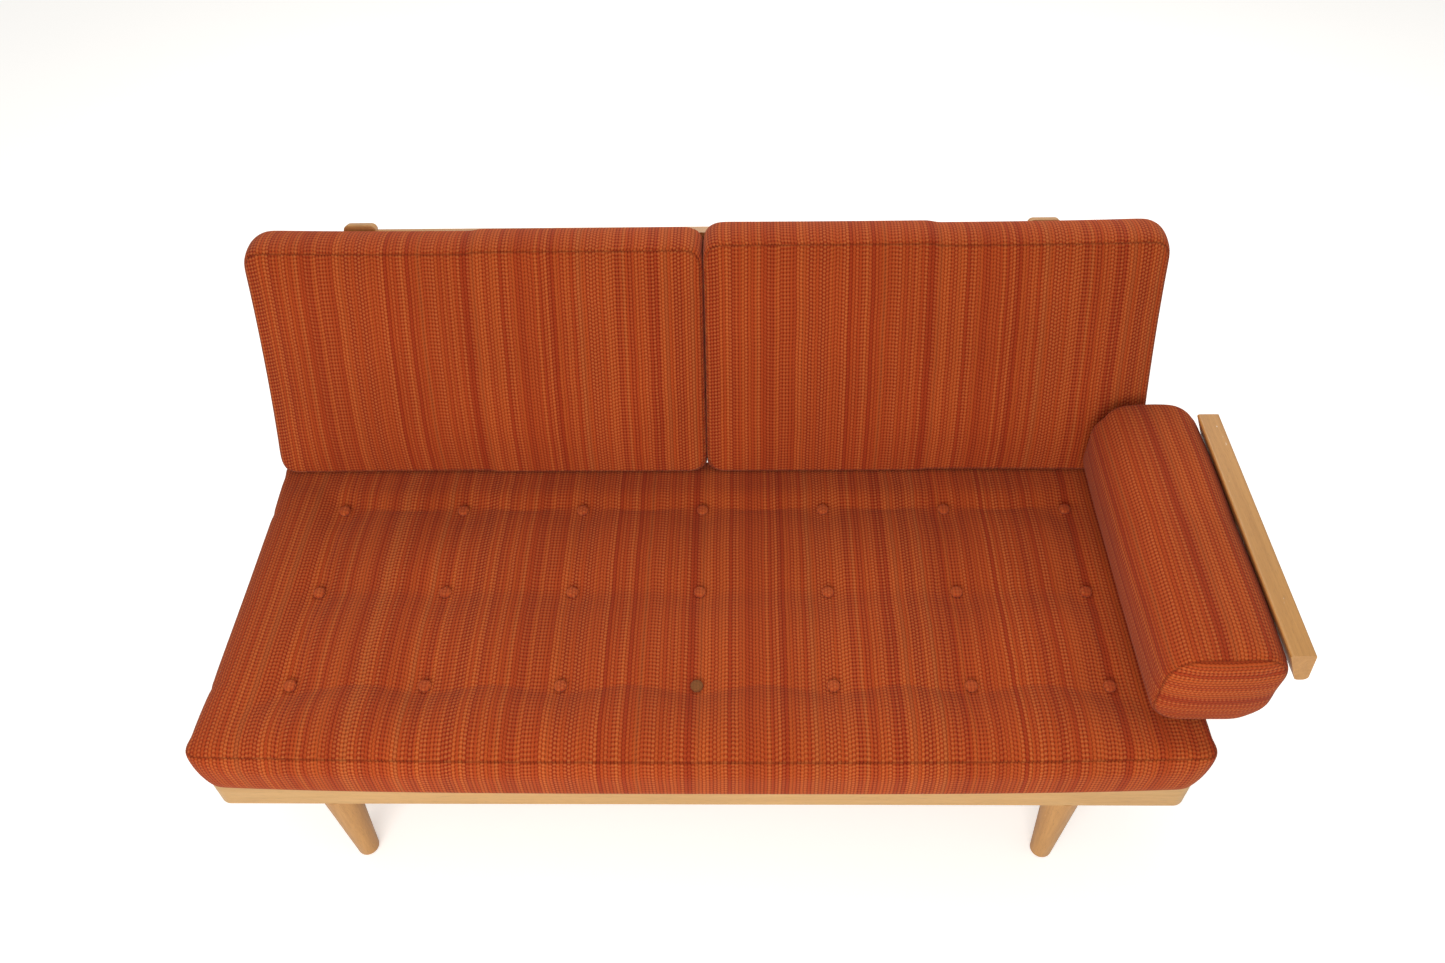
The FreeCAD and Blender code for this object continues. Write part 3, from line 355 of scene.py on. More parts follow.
def wool_material(name, button=False):
    """Striped wool on a cover: the weave on the piece's own cloth map, dark at the seams.

    On a button the wool is lightened by a painted highlight, and an attribute named worn turns it olive
    brown.
    """
    wool = bpy.context.scene.daybed_wool
    material, tree, shader = new_material(name)
    group = bpy.data.node_groups.get("striped wool weave") or weave_group()
    weave = add_node(tree, "ShaderNodeGroup", node_tree=group)
    join(tree, weave, {
        "Cloth": add_node(tree, "ShaderNodeUVMap", uv_map="cloth").outputs[0],
        "Seam": add_node(tree, "ShaderNodeAttribute", attribute_name="seam").outputs["Fac"],
        "Column": wool.column, "Stitch": wool.stitch, "Red": rgba(wool.red), "Rust": rgba(wool.rust),
        "Orange": rgba(wool.orange), "Olive": rgba(wool.olive), "Light": rgba(wool.light)})
    colour = weave.outputs["Color"]
    if button:
        old = add_node(tree, "ShaderNodeAttribute", attribute_name="worn").outputs["Fac"]
        # The 0.3 mix towards the button colour is a painted highlight on the domes; the worn attribute then
        # turns the wool olive brown
        colour = mix_colour(tree, old, mix_colour(tree, 0.3, colour, rgba(wool.button)), rgba(wool.worn))
    join(tree, shader, {
        "Base Color": colour, "Roughness": weave.outputs["Roughness"],
        "Normal": bumped(tree, weave.outputs["Height"], 0.75, 0.0012), "Sheen Weight": 0.10,
        "Sheen Roughness": 0.55, "Sheen Tint": (1.0, 0.78, 0.60, 1.0), "Specular IOR Level": 0.05})
    return material


def timber_group():
    """Lacquered timber whose grain runs along the first coordinate, in metres.

    Broad figure and fine pores are noise stretched along the grain, flecks are short dark streaks,
    and a few pale nicks show where the lacquer has worn.
    """
    colour, number = "NodeSocketColor", "NodeSocketFloat"
    tree, enter, leave = new_group(
        "lacquered timber",
        (("Grain", "NodeSocketVector"), ("Pale", colour), ("Deep", colour), ("Nicks", number)),
        (("Color", colour), ("Height", number), ("Roughness", number)))
    grain = enter.outputs["Grain"]
    figure = noise(tree, scaled(tree, grain, (1.3, 26.0, 26.0)), 1.0, 5.0, 0.62, 0.6)
    streak = noise(tree, scaled(tree, grain, (6.0, 190.0, 190.0)), 1.0, 3.0, 0.6)
    pores = noise(tree, scaled(tree, grain, (55.0, 900.0, 900.0)), 1.0, 2.0)
    patina = noise(tree, grain, 2.4, 2.0)
    pore_mask = remap(tree, pores, 0.56, 0.70)
    blend = calc(tree, "MULTIPLY_ADD", remap(tree, figure, 0.30, 0.70), 0.62,
                 times(tree, remap(tree, streak, 0.30, 0.72), 0.38))
    wood = mix_colour(tree, blend, enter.outputs["Pale"], enter.outputs["Deep"])
    wood = shaded(tree, wood, times(tree, remap(tree, patina, 0.3, 0.7, 0.94, 1.05),
                                    remap(tree, pore_mask, 0.0, 1.0, 1.0, 0.80)))
    nick = noise(tree, scaled(tree, grain, (34.0, 95.0, 95.0)), 1.0, 2.0, 0.7)
    nick = times(tree, remap(tree, nick, 0.735, 0.77), enter.outputs["Nicks"])
    height = calc(tree, "MULTIPLY_ADD", streak, 0.35, times(tree, pore_mask, -0.5))
    join(tree, leave, {
        "Color": mix_colour(tree, nick, wood, (0.86, 0.74, 0.58, 1.0)),
        "Height": calc(tree, "SUBTRACT", height, times(tree, nick, 0.8)),
        "Roughness": remap(tree, calc(tree, "ADD", streak, nick), 0.2, 1.2, 0.34, 0.62)})
    return tree


def timber_material(name, pale, deep, turn, nicks):
    """Timber whose grain follows a member: `turn` brings the member's own line onto the first axis."""
    material, tree, shader = new_material(name)
    place = add_node(tree, "ShaderNodeTexCoord").outputs["Object"]
    group = bpy.data.node_groups.get("lacquered timber") or timber_group()
    timber = add_node(tree, "ShaderNodeGroup", node_tree=group)
    join(tree, timber, {
        "Grain": add_node(tree, "ShaderNodeMapping", {"Vector": place, "Rotation": turn}).outputs[0],
        "Pale": rgba(pale), "Deep": rgba(deep), "Nicks": nicks})
    join(tree, shader, {
        "Base Color": timber.outputs["Color"], "Roughness": timber.outputs["Roughness"],
        "Normal": bumped(tree, timber.outputs["Height"], 0.25, 0.0004), "Coat Weight": 0.18,
        "Coat Roughness": 0.3})
    return material


def speckled_material(name, colour, metal, rough, grain, depth):
    """Painted, plated or moulded surfaces: fine speckle in the roughness, slight mottling and dust."""
    material, tree, shader = new_material(name)
    place = add_node(tree, "ShaderNodeTexCoord").outputs["Object"]
    fine = noise(tree, place, grain, 3.0)
    broad = noise(tree, place, grain / 14, 3.0)
    dust = remap(tree, noise(tree, place, 60.0, 4.0, 0.7), 0.55, 0.8, 0.0, 0.35)
    mottled = mix_colour(tree, remap(tree, broad, 0.3, 0.7), rgba([part * 0.78 for part in colour]),
                         rgba([min(part * 1.2, 1.0) for part in colour]))
    join(tree, shader, {
        "Base Color": mix_colour(tree, dust, mottled, (0.33, 0.30, 0.26, 1.0)),
        "Roughness": remap(tree, fine, 0.25, 0.75, *rough),
        "Normal": bumped(tree, fine, 0.3, depth), "Metallic": metal})
    return material


def finish_nodes(material, *names):
    """Give CAD nodes a finish."""
    for name in names:
        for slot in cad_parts[name].material_slots:
            slot.material = material


def starting_with(start):
    """Names of the CAD nodes that begin alike."""
    return [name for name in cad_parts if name.startswith(start)]


# ---------------------------------------------------------------- sewn covers

def ramp(value, start, end):
    """0 at the start and 1 at the end, straight between them and level outside."""
    return np.clip((value - start) / (end - start), 0, 1)


def gathered_lines(half, step, fine, reach, spots=()):
    """Places from -half to half, a step apart, that draw in to a fine step at the ends and spots.

    The wanted spacing is the step, less a bell curve at each spot. Its inverse is the density of
    lines, and the places are where the running total of that density passes whole numbers.
    """
    across = np.linspace(-half, half, 6001)
    stops = np.array([*spots, -half, half])
    near = np.exp(-((across[:, None] - stops[None, :]) / reach) ** 2).max(axis=1)
    density = 1.0 / (step - (step - fine) * near)
    pieces = (density[1:] + density[:-1]) / 2 * np.diff(across)
    total = np.concatenate([[0.0], np.cumsum(pieces)])
    count = int(round(total[-1]))
    return np.interp(np.linspace(0.0, total[-1], count + 1), total, across)


def centred_arc(points):
    """Length along a line of points, zero at its middle."""
    steps = np.linalg.norm(np.diff(points, axis=0), axis=1)
    arc = np.concatenate([[0.0], np.cumsum(steps)])
    return arc - arc[-1] / 2


def sewn_cover(lines, roll, corner, lead, turned_panels=False):
    """Two panels and the boxing between them, as one closed grid.

    The grid is the surface of a box whose three families of lines are given. A point lies on a ring
    at some inset from the box's side. The ring's corners are rounded with the corner radius less the
    inset. The turn between panel and boxing is an arc of the roll radius, with the seam half way
    round it. `lead` is the side (-1 or 1) where the boxing's stripes line up with the panel's.
    """
    a, b, c = lines
    half, thick = np.array([a[-1], b[-1]]), c[-1]
    count_b, count_c = len(b), len(c)
    i_all, j_all, k_all = np.arange(len(a)), np.arange(count_b), np.arange(count_c)
    sides = ((i_all, j_all, k_all[-1:]), (i_all, j_all, k_all[:1]), (i_all, j_all[:1], k_all),
             (i_all, j_all[-1:], k_all), (i_all[-1:], j_all, k_all), (i_all[:1], j_all, k_all))
    grids = [(*np.meshgrid(*side, indexing="ij"), number % 2 == 1) for number, side in enumerate(sides)]
    keys = [((i * count_b + j) * count_c + k).squeeze() for i, j, k, _ in grids]
    unique, inverse = np.unique(np.concatenate([key.ravel() for key in keys]), return_inverse=True)
    k_of = unique % count_c
    j_of = unique // count_c % count_b
    i_of = unique // (count_c * count_b)
    flat = np.stack([a[i_of], b[j_of]], axis=1)
    depth = c[k_of]

    inset = (half - np.abs(flat)).min(axis=1)
    travel = np.where(inset > 0, -inset, thick - np.abs(depth))
    angle = math.pi / 4 * (1 + np.clip(travel, -roll, roll) / roll)
    ring = roll * (1 - np.sin(angle)) + np.maximum(-travel - roll, 0)
    level = thick - roll + roll * np.cos(angle) - np.maximum(travel - roll, 0)
    room = np.maximum(half - inset[:, None], 1e-9)
    moved = np.where((ring == inset)[:, None], flat, flat / room * (half - ring[:, None]))
    radius = np.maximum(corner - ring, 0.0)
    straight = half - ring[:, None] - radius[:, None]
    core = np.clip(moved, -straight, straight)
    away = moved - core
    length = np.linalg.norm(away, axis=1)
    outward = away / np.maximum(length, 1e-9)[:, None]
    plan = np.where((length > 1e-9)[:, None], core + outward * radius[:, None], moved)
    points = np.column_stack([plan, np.where(depth < 0, -level, level)])
    middle = (travel > roll) | (np.abs(depth) < thick - 1e-9)
    points[middle & (inset <= 0), 2] = np.where(np.abs(depth) > thick - roll, points[:, 2],
                                                depth)[middle & (inset <= 0)]

    rim = {}
    for name, key in (("front", keys[2]), ("back", keys[3]), ("right", keys[4]), ("left", keys[5])):
        rim[name] = centred_arc(plan[np.searchsorted(unique, key[:, count_c // 2])])
    start = rim["back"] if lead > 0 else rim["front"]
    span = {name: rim[name] - rim[name][0] for name in ("right", "left")}
    if lead > 0:
        span = {name: arc[-1] - arc for name, arc in span.items()}
    across = [rim["front"], rim["back"], start[-1] + span["right"], start[0] - span["left"]]

    faces, cloth = [], []
    offset = 0
    for number, (key, (_, _, _, flipped)) in enumerate(zip(keys, grids)):
        ids = inverse[offset:offset + key.size].reshape(key.shape)
        offset += key.size
        if number < 2:
            own = plan[ids][:, :, ::-1] if turned_panels else plan[ids]
        else:
            own = np.stack(np.broadcast_arrays(across[number - 2][:, None], c[None, :]), axis=2)
        corners = [(slice(None, -1), slice(None, -1)), (slice(1, None), slice(None, -1)),
                   (slice(1, None), slice(1, None)), (slice(None, -1), slice(1, None))]
        order = corners[::-1] if flipped else corners
        faces.append(np.stack([ids[part].ravel() for part in order], axis=1))
        cloth.append(np.stack([own[part].reshape(-1, 2) for part in order], axis=1))
    share = np.column_stack([flat / half, depth / thick])
    seam = (inset <= 0) & (np.abs(depth) > thick - 1e-9)
    return SimpleNamespace(points=points, share=share, outward=np.where((inset <= 0)[:, None], outward, 0.0),
                           seam=seam.astype(float), faces=np.concatenate(faces),
                           cloth=np.concatenate(cloth))


def swell_boxing(cover, amount):
    """Push the boxing outwards by the amount at its middle, falling as a parabola to its seams."""
    lift = amount * (1 - cover.share[:, 2] ** 2)
    cover.points[:, :2] += cover.outward * lift[:, None]


def crown_panel(cover, side, amount, power, low=0.0):
    """Raise one panel: the amount in the middle, less the power of the distance to each pair of edges.

    `low` brings the highest place down from the middle towards the foot.
    """
    upright = cover.share[:, 1] + low * (1 - cover.share[:, 1] ** 2)
    shape = (1 - np.abs(cover.share[:, 0]) ** power) * (1 - np.abs(upright) ** power)
    on_side = cover.share[:, 2] * side > EDGE
    cover.points[:, 2] += np.where(on_side, side * amount * shape, 0.0)


def draw_in(cover, amount):
    """Pull the sides in between the corners: most at the middle of a side, none at its corners."""
    share = cover.share
    for axis, other in ((0, 1), (1, 0)):
        pull = amount * np.sign(share[:, axis]) * np.abs(share[:, axis]) ** 4 * (1 - share[:, other] ** 2)
        cover.points[:, axis] -= pull


def mesh_piece(name, points, faces, cloth, seam, material):
    """A piece from whole arrays: vertices, quads, a cloth map in metres and the seam's attribute."""
    mesh = bpy.data.meshes.new(name)
    mesh.vertices.add(len(points))
    mesh.vertices.foreach_set("co", points.astype(np.float32).ravel())
    mesh.loops.add(faces.size)
    mesh.loops.foreach_set("vertex_index", faces.astype(np.int32).ravel())
    mesh.polygons.add(len(faces))
    mesh.polygons.foreach_set("loop_start", np.arange(0, faces.size, faces.shape[1], dtype=np.int32))
    mesh.update(calc_edges=True)
    mesh.polygons.foreach_set("use_smooth", np.ones(len(faces), dtype=bool))
    layer = mesh.uv_layers.new(name="cloth")
    layer.data.foreach_set("uv", cloth.astype(np.float32).ravel())
    edge = mesh.attributes.new("seam", "FLOAT", "POINT")
    edge.data.foreach_set("value", seam.astype(np.float32))
    mesh.materials.append(material)
    mesh.validate()
    piece = bpy.data.objects.new(name, mesh)
    bpy.context.scene.collection.objects.link(piece)
    return piece


def read_points(mesh):
    """A mesh's vertices as rows of three numbers."""
    flat = np.empty(len(mesh.vertices) * 3, np.float32)
    mesh.vertices.foreach_get("co", flat)
    return flat.reshape(-1, 3).astype(float)


def write_points(piece, points):
    """Put rows of three numbers back into a piece's vertices."""
    piece.data.vertices.foreach_set("co", points.astype(np.float32).ravel())
    piece.data.update()


def puff_up(piece, held, pressure, cap):
    """Fill a cover with air as cloth, then keep each point's travel under the cap.

    The travel is the cap times the hyperbolic tangent of the simulated travel over the cap, so small
    moves stay as they are and large ones level off. Held points don't move.
    """
    scene = bpy.context.scene
    rest = read_points(piece.data)
    pinned = piece.vertex_groups.new(name="held")
    pinned.add(np.flatnonzero(held).tolist(), 1.0, "REPLACE")
    cloth = piece.modifiers.new("puff", "CLOTH")
    cloth.collision_settings.use_collision = False
    cloth.collision_settings.use_self_collision = False
    settings = cloth.settings
    for name, value in dict(quality=5, mass=0.3, tension_stiffness=15, compression_stiffness=15,
                            shear_stiffness=5, bending_stiffness=0.5, use_pressure=True,
                            uniform_pressure_force=pressure, vertex_group_mass="held").items():
        setattr(settings, name, value)
    settings.effector_weights.gravity = 0
    for number in range(1, FILLING_FRAMES + 1):
        scene.frame_set(number)
    view = bpy.context.evaluated_depsgraph_get()
    puffed = read_points(piece.evaluated_get(view).data)
    piece.modifiers.remove(cloth)
    piece.vertex_groups.remove(pinned)
    scene.frame_set(1)
    travel = puffed - rest
    length = np.maximum(np.linalg.norm(travel, axis=1), 1e-9)
    write_points(piece, rest + travel * (cap * np.tanh(length / cap) / length)[:, None])


def soften(piece):
    """One level of subdivision, shown and rendered alike."""
    smooth = piece.modifiers.new("soften", "SUBSURF")
    smooth.levels = 1
    smooth.render_levels = 1


# ---------------------------------------------------------------- pieces

def button_spots():
    """Centres of the buttons on the mattress, row by row."""
    sizes = bpy.context.scene.daybed_mattress
    along = (np.arange(sizes.columns) - (sizes.columns - 1) / 2) * sizes.pitch_long + SEAT_MIDDLE.x
    deep = (np.arange(sizes.rows) - (sizes.rows - 1) / 2) * sizes.pitch_deep + SEAT_MIDDLE.y
    return np.array([(x, y) for y in deep for x in along])


def button_distance(points):
    """Distance in plan from each point to its nearest button."""
    gaps = points[:, None, :2] - button_spots()[None, :, :]
    return np.linalg.norm(gaps, axis=2).min(axis=1)


class DAYBED_OT_mattress(bpy.types.Operator):
    """Sew the mattress: two panels, a boxing, hollows round the buttons and furrows between them."""
    bl_idname = "daybed.mattress"
    bl_label = "Mattress"

    def execute(self, context):
        """The top is the crown less the hollows and furrows; below it is level, with shallow wells.

        A hollow falls off exponentially from its button's edge. A furrow is a bell curve across its
        row, deepest at the buttons. The front belly is the fifth power of the distance to the front.
        After filling, the top is scaled to its height and the hollows are let down again.
        """
        sizes = context.scene.daybed_mattress
        low, high = MATTRESS_BOX
        half = (high - low) / 2
        top = half.z - sizes.seam_drop + sizes.roll * (1 - math.sqrt(0.5))
        spots = button_spots()
        rows = np.unique(spots[:, 1].round(6))
        outermost = np.abs(spots[:, 0] - SEAT_MIDDLE.x).max()
        at_buttons = (np.unique(spots[:, 0].round(6)) - SEAT_MIDDLE.x, rows - SEAT_MIDDLE.y)
        thick = (top + half.z) / 2
        lines = [gathered_lines(side - sizes.boxing - HAIR, sizes.step, 0.0065, 0.024, spots=stops)
                 for side, stops in zip(half.xy, at_buttons)]
        lines.append(gathered_lines(thick, 0.013, 0.004, 0.008))
        cover = sewn_cover(lines, sizes.roll, sizes.corner, -1)
        share = cover.share
        swell_boxing(cover, sizes.boxing)
        crown_panel(cover, 1, half.z - top - HAIR, power=9)
        lift = ramp(cover.points[:, 2], -thick, thick)
        skew = np.where(share[:, 0] < 0, (1 + share[:, 1]) / 2, 1.0)
        spread = sizes.overhang * lift * (0.5 + 0.5 * skew) - sizes.taper * (1 - lift)
        cover.points[:, 0] += np.sign(cover.points[:, 0]) * spread * np.abs(share[:, 0]) ** 6
        points = cover.points + np.array((SEAT_MIDDLE.x, SEAT_MIDDLE.y, low.z + thick))
        on_top = share[:, 2] > EDGE
        below = share[:, 2] < -EDGE
        away = button_distance(points)
        hollow = np.exp(-(np.maximum(away - sizes.button, 0) / sizes.dimple_reach))
        to_row = np.abs(points[:, 1][:, None] - rows[None, :]).min(axis=1)
        row_width, row_end, pull_reach = 0.038, 0.10, 0.075
        furrow = sizes.pull * np.exp(-(to_row / row_width) ** 2)
        furrow *= ramp(np.abs(points[:, 0] - SEAT_MIDDLE.x), outermost + row_end, outermost)
        furrow *= 0.45 + 0.55 * np.exp(-(away / pull_reach) ** 2)
        bow = sizes.bow * np.clip(-share[:, 1], 0, 1) ** 5 * (1 - np.abs(share[:, 0]) ** 3)
        points[:, 1] -= bow
        sink = np.maximum(sizes.dimple * hollow, furrow)
        points[:, 2] -= np.where(on_top, sink, 0.0)
        well_depth, well_edge, well_floor = 0.0032, 0.021, 0.014
        points[:, 2] += np.where(below, well_depth * ramp(away, well_edge, well_floor), 0.0)
        piece = mesh_piece("mattress_cover", points, cover.faces, cover.cloth, cover.seam,
                           wool_material("mattress wool"))
        sewn_down = sizes.button + 0.003
        held = (on_top & (away < sewn_down)) | (share[:, 2] < -0.75)
        puff_up(piece, held, pressure=4.0, cap=0.014)
        puffed = read_points(piece.data)
        seam_height = points[cover.seam.astype(bool) & on_top, 2].mean()
        rise = puffed[:, 2] - seam_height
        to_cushions = CUSHION_BOXES[0][0].y - 0.02 - puffed[:, 1]
        to_bolster = np.maximum(BOLSTER_BOX[0].x - puffed[:, 0], BOLSTER_BOX[0].y - puffed[:, 1]) - 0.01
        free = ramp(np.minimum(to_cushions, to_bolster), 0.0, 0.06)
        free = free * free * (3 - 2 * free)
        allowed = SEAT_TOP - 0.0004 - seam_height + sizes.swell * free
        level = np.where(on_top, rise * allowed / rise[on_top].max(), rise)
        settle = sizes.settle * sink * ramp(away, sewn_down, sewn_down + 0.015)
        puffed[:, 2] = seam_height + level - np.where(on_top, settle, 0.0)
        proud = sizes.overhang - sizes.boxing
        puffed[:, 0] = np.clip(puffed[:, 0], low.x - proud, high.x + proud)
        puffed[:, 1] = np.clip(puffed[:, 1], low.y - bow, high.y)
        write_points(piece, puffed)
        soften(piece)
        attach(piece, "mattress")
        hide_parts("mattress")
        return {"FINISHED"}


class DAYBED_OT_buttons(bpy.types.Operator):
    """Cover the buttons: domes of revolution, flattened on top and tucked in underneath."""
    bl_idname = "daybed.buttons"
    bl_label = "Buttons"

    def execute(self, context):
        """Each dome is a quarter of a rounded square, turned about its own axis.

        Height is 0.85 of the rise, times the fourth root of one less the fourth power of the share of
        the radius. The last ring tucks in to 0.9 of the radius, 0.35 of the rise below the rim.
        """
        sizes = context.scene.daybed_mattress
        spots = button_spots()
        share = np.array([0.04, 0.25, 0.48, 0.68, 0.83, 0.93, 0.985, 1.0, 0.90])
        height = 0.85 * (1 - share ** 4) ** 0.25
        height[0] = 0.85
        height[-1] = -0.35
        rings, sides = len(share), 28
        turn = np.arange(sides) * 2 * math.pi / sides
        ring_x = share[:, None] * np.cos(turn)[None, :] * sizes.button
        ring_y = share[:, None] * np.sin(turn)[None, :] * sizes.button
        ring_z = np.broadcast_to(height[:, None] * sizes.button_rise, ring_x.shape)
        dome = np.stack([ring_x, ring_y, ring_z], axis=2).reshape(-1, 3)
        tip = np.array([[0.0, 0.0, height[0] * sizes.button_rise]])
        foot = np.array([[0.0, 0.0, height[-1] * sizes.button_rise]])
        one = np.concatenate([dome, tip, foot])
        ids = np.arange(rings * sides).reshape(rings, sides)
        after = np.roll(ids, -1, axis=1)
        quads = np.stack([ids[:-1], ids[1:], after[1:], after[:-1]], axis=2).reshape(-1, 4)
        top_fan = np.stack([ids[0, ::2], after[0, ::2], np.roll(ids[0, ::2], -1),
                            np.full(sides // 2, rings * sides)], axis=1)
        low_fan = np.stack([np.roll(ids[-1, ::2], -1), after[-1, ::2], ids[-1, ::2],
                            np.full(sides // 2, rings * sides + 1)], axis=1)
        faces = np.concatenate([quads, top_fan, low_fan])
        lift = BUTTONS_BOX[0].z - 0.0002
        moved = one[None, :, :] + np.column_stack([spots, np.full(len(spots), lift)])[:, None, :]
        points = moved.reshape(-1, 3)
        every = (faces[None, :, :] + (np.arange(len(spots)) * len(one))[:, None, None]).reshape(-1, 4)
        cloth = points[every.ravel(), :2] - np.array(SEAT_MIDDLE)[:2]
        piece = mesh_piece("mattress_button_covers", points, every, cloth, np.zeros(len(points)),
                           wool_material("button wool", button=True))
        worn = np.zeros(len(spots))
        worn[sizes.columns // 2] = 0.75     # the middle button of the front row
        age = piece.data.attributes.new("worn", "FLOAT", "POINT")
        age.data.foreach_set("value", np.repeat(worn, len(one)).astype(np.float32))
        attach(piece, "mattress")
        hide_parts("mattress_buttons")
        return {"FINISHED"}


class DAYBED_OT_back_cushions(bpy.types.Operator):
    """Sew and fill the two back cushions that lean on the backrest."""
    bl_idname = "daybed.back_cushions"
    bl_label = "Back Cushions"

    def sew(self, sizes, name, box, height, inner_side):
        """One cushion, leaning back, with a level underside on the seat.

        The foot's two corners are filled out square behind the front panel's rounded ones. After
        filling, the cover is kept off the seat, the backrest and the other cushion: the side that
        meets the other cushion is pressed flat but for its front and back edges and its top.
        """
        low, high = box
        lean, thickness = sizes.lean, sizes.thickness
        side_room = 0.0015
        half = ((high.x - low.x) / 2 - side_room, height / 2, thickness / 2)
        lines = [gathered_lines(side, sizes.step, 0.004, 0.012) for side in half]
        cover = sewn_cover(lines, sizes.roll, sizes.corner, 1)
        cover.outward[:, 0] *= 0.5
        swell_boxing(cover, sizes.boxing)
        crown_panel(cover, 1, sizes.crown, power=2.6, low=0.35)
        share = cover.share
        outer = share[:, 0] * inner_side < 0
        draw_in(cover, np.where(outer, sizes.waist, 0.0))
        back = half[2] - cover.points[:, 2]
        deep = back / thickness
        at_corner = ramp(np.abs(share[:, 0]), 0.90, 0.95) * ramp(-share[:, 1], 0.72, 0.84)
        square = share[:, :2] * np.array([half[0] + side_room + 0.001, half[1]])
        fuller = at_corner * ramp(deep, 0.12, 0.32)
        cover.points[:, :2] += (square - cover.points[:, :2]) * fuller[:, None]
        up = (cover.points[:, 1] + half[1]) / height
        foot = np.maximum(back, 0) * math.tan(lean)
        head = height + sizes.slump * np.clip(deep, 0, 1)
        along = foot + (head - foot) * up
        taper = np.where(outer, sizes.taper, 0.0)
        across = (low.x + high.x) / 2 + cover.points[:, 0] * (1 - taper / half[0] * np.clip(up, 0, 1))
        front = (REAR_RAIL_BOX[1].y + sizes.set_back + (low.z - REAR_RAIL_BOX[1].z) * math.tan(lean)
                 - (thickness + HAIR) / math.cos(lean))
        points = np.column_stack([
            across,
            front + back * math.cos(lean) + along * math.sin(lean),
            low.z - back * math.sin(lean) + along * math.cos(lean)])
        piece = mesh_piece(name + "_cover", points, cover.faces, cover.cloth, cover.seam,
                           wool_material(name + " wool"))
        held = (share[:, 2] < -EDGE) | (share[:, 1] < -EDGE) | (cover.seam > 0) | (at_corner > 0.3)
        puff_up(piece, held, pressure=4.0, cap=0.012)
        puffed = read_points(piece.data)
        puffed[:, 2] = np.maximum(puffed[:, 2], low.z)
        behind = ((puffed[:, 1] - front) * math.cos(lean) - (puffed[:, 2] - low.z) * math.sin(lean))
        spare = np.maximum(behind - thickness, 0)
        puffed[:, 1] -= spare * math.cos(lean)
        puffed[:, 2] += spare * math.sin(lean)
        limit, close = (high.x, np.minimum) if inner_side > 0 else (low.x, np.maximum)
        press = 0.00095
        meeting = limit + inner_side * press
        puffed[:, 0] = close(puffed[:, 0], meeting)
        pressed = ramp(np.minimum(deep, 1 - deep), 0.10, 0.22) * ramp(up, 0.95, 0.87)
        pressed = np.where(share[:, 0] * inner_side > EDGE, pressed, 0.0)
        puffed[:, 0] += (meeting - puffed[:, 0]) * pressed
        write_points(piece, puffed)
        soften(piece)
        return piece

    def execute(self, context):
        sizes = context.scene.daybed_cushions
        for side, box, height, inner in (("left", CUSHION_BOXES[0], sizes.left_height, 1),
                                         ("right", CUSHION_BOXES[1], sizes.right_height, -1)):
            name = "back_cushion_" + side
            piece = self.sew(sizes, name, box, height, inner)
            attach(piece, "cushion_" + side)
            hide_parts(name)
        return {"FINISHED"}


class DAYBED_OT_bolster(bpy.types.Operator):
    """Sew and fill the bolster: a rounded tube with a flat panel at each end."""
    bl_idname = "daybed.bolster"
    bl_label = "Bolster"

    def execute(self, context):
        """The tube narrows with the third power of the distance to its middle, and stays on the seat.

        Its back end bows out most at mid width. After filling, the long edge beside the bar swells,
        and the cover is cut back to the bar's sloping face, the seat and the end of the bed.
        """
        sizes = context.scene.daybed_bolster
        low, high = BOLSTER_BOX
        size = high - low
        half = (size.x / 2 - 0.001, size.z / 2 - 0.001, size.y / 2 - 0.004)
        lines = [gathered_lines(half[0], 0.011, 0.009, 0.012), gathered_lines(half[1], 0.011, 0.009, 0.012),
                 gathered_lines(half[2], sizes.step, 0.004, 0.014)]
        cover = sewn_cover(lines, sizes.roll, sizes.corner, 1, turned_panels=True)
        share = cover.share
        crown_panel(cover, 1, sizes.front_crown, power=2.4)
        crown_panel(cover, -1, sizes.back_crown, power=2.4)
        middle = (low + high) / 2
        narrow = 1 - sizes.waist / half[0] * np.abs(share[:, 2]) ** 3
        lowered = (1 - narrow) * half[1] * 0.9
        points = np.column_stack([middle.x + cover.points[:, 0] * narrow, middle.y - cover.points[:, 2],
                                  middle.z + cover.points[:, 1] * narrow - lowered])
        above = ramp(points[:, 2] - low.z, 0.03, 0.16)
        rear = np.clip(-share[:, 2], 0, 1) ** 3
        points[:, 1] += sizes.rear_bow * rear * above * (1 - share[:, 0] ** 2)
        piece = mesh_piece("bolster_cover", points, cover.faces, cover.cloth, cover.seam,
                           wool_material("bolster wool"))
        held = ((share[:, 1] < -EDGE) & (np.abs(share[:, 2]) < EDGE)) | (cover.seam > 0)
        puff_up(piece, held, pressure=3.0, cap=0.006)
        puffed = read_points(piece.data)
        centre = np.array([middle.x, middle.z])
        flat = puffed[:, [0, 2]] - centre
        at_bar = np.clip(flat[:, 1] / half[1], 0, 1) * np.clip(flat[:, 0] / half[0], 0, 1)
        puffed[:, [0, 2]] = centre + flat * (1 + sizes.shoulder * at_bar[:, None])
        puffed[:, 2] = np.minimum(puffed[:, 2], high.z + 0.002)
        bar_low, bar_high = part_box("arm_rail")
        face = bar_low.x + (bar_high.z - puffed[:, 2]) * sizes.bar_slope - sizes.bar_gap
        puffed[:, 0] = np.minimum(puffed[:, 0], np.minimum(face, high.x + 0.0003))
        puffed[:, 2] = np.maximum(puffed[:, 2], low.z)
        write_points(piece, puffed)
        soften(piece)
        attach(piece, "bolster")
        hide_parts("bolster")
        return {"FINISHED"}


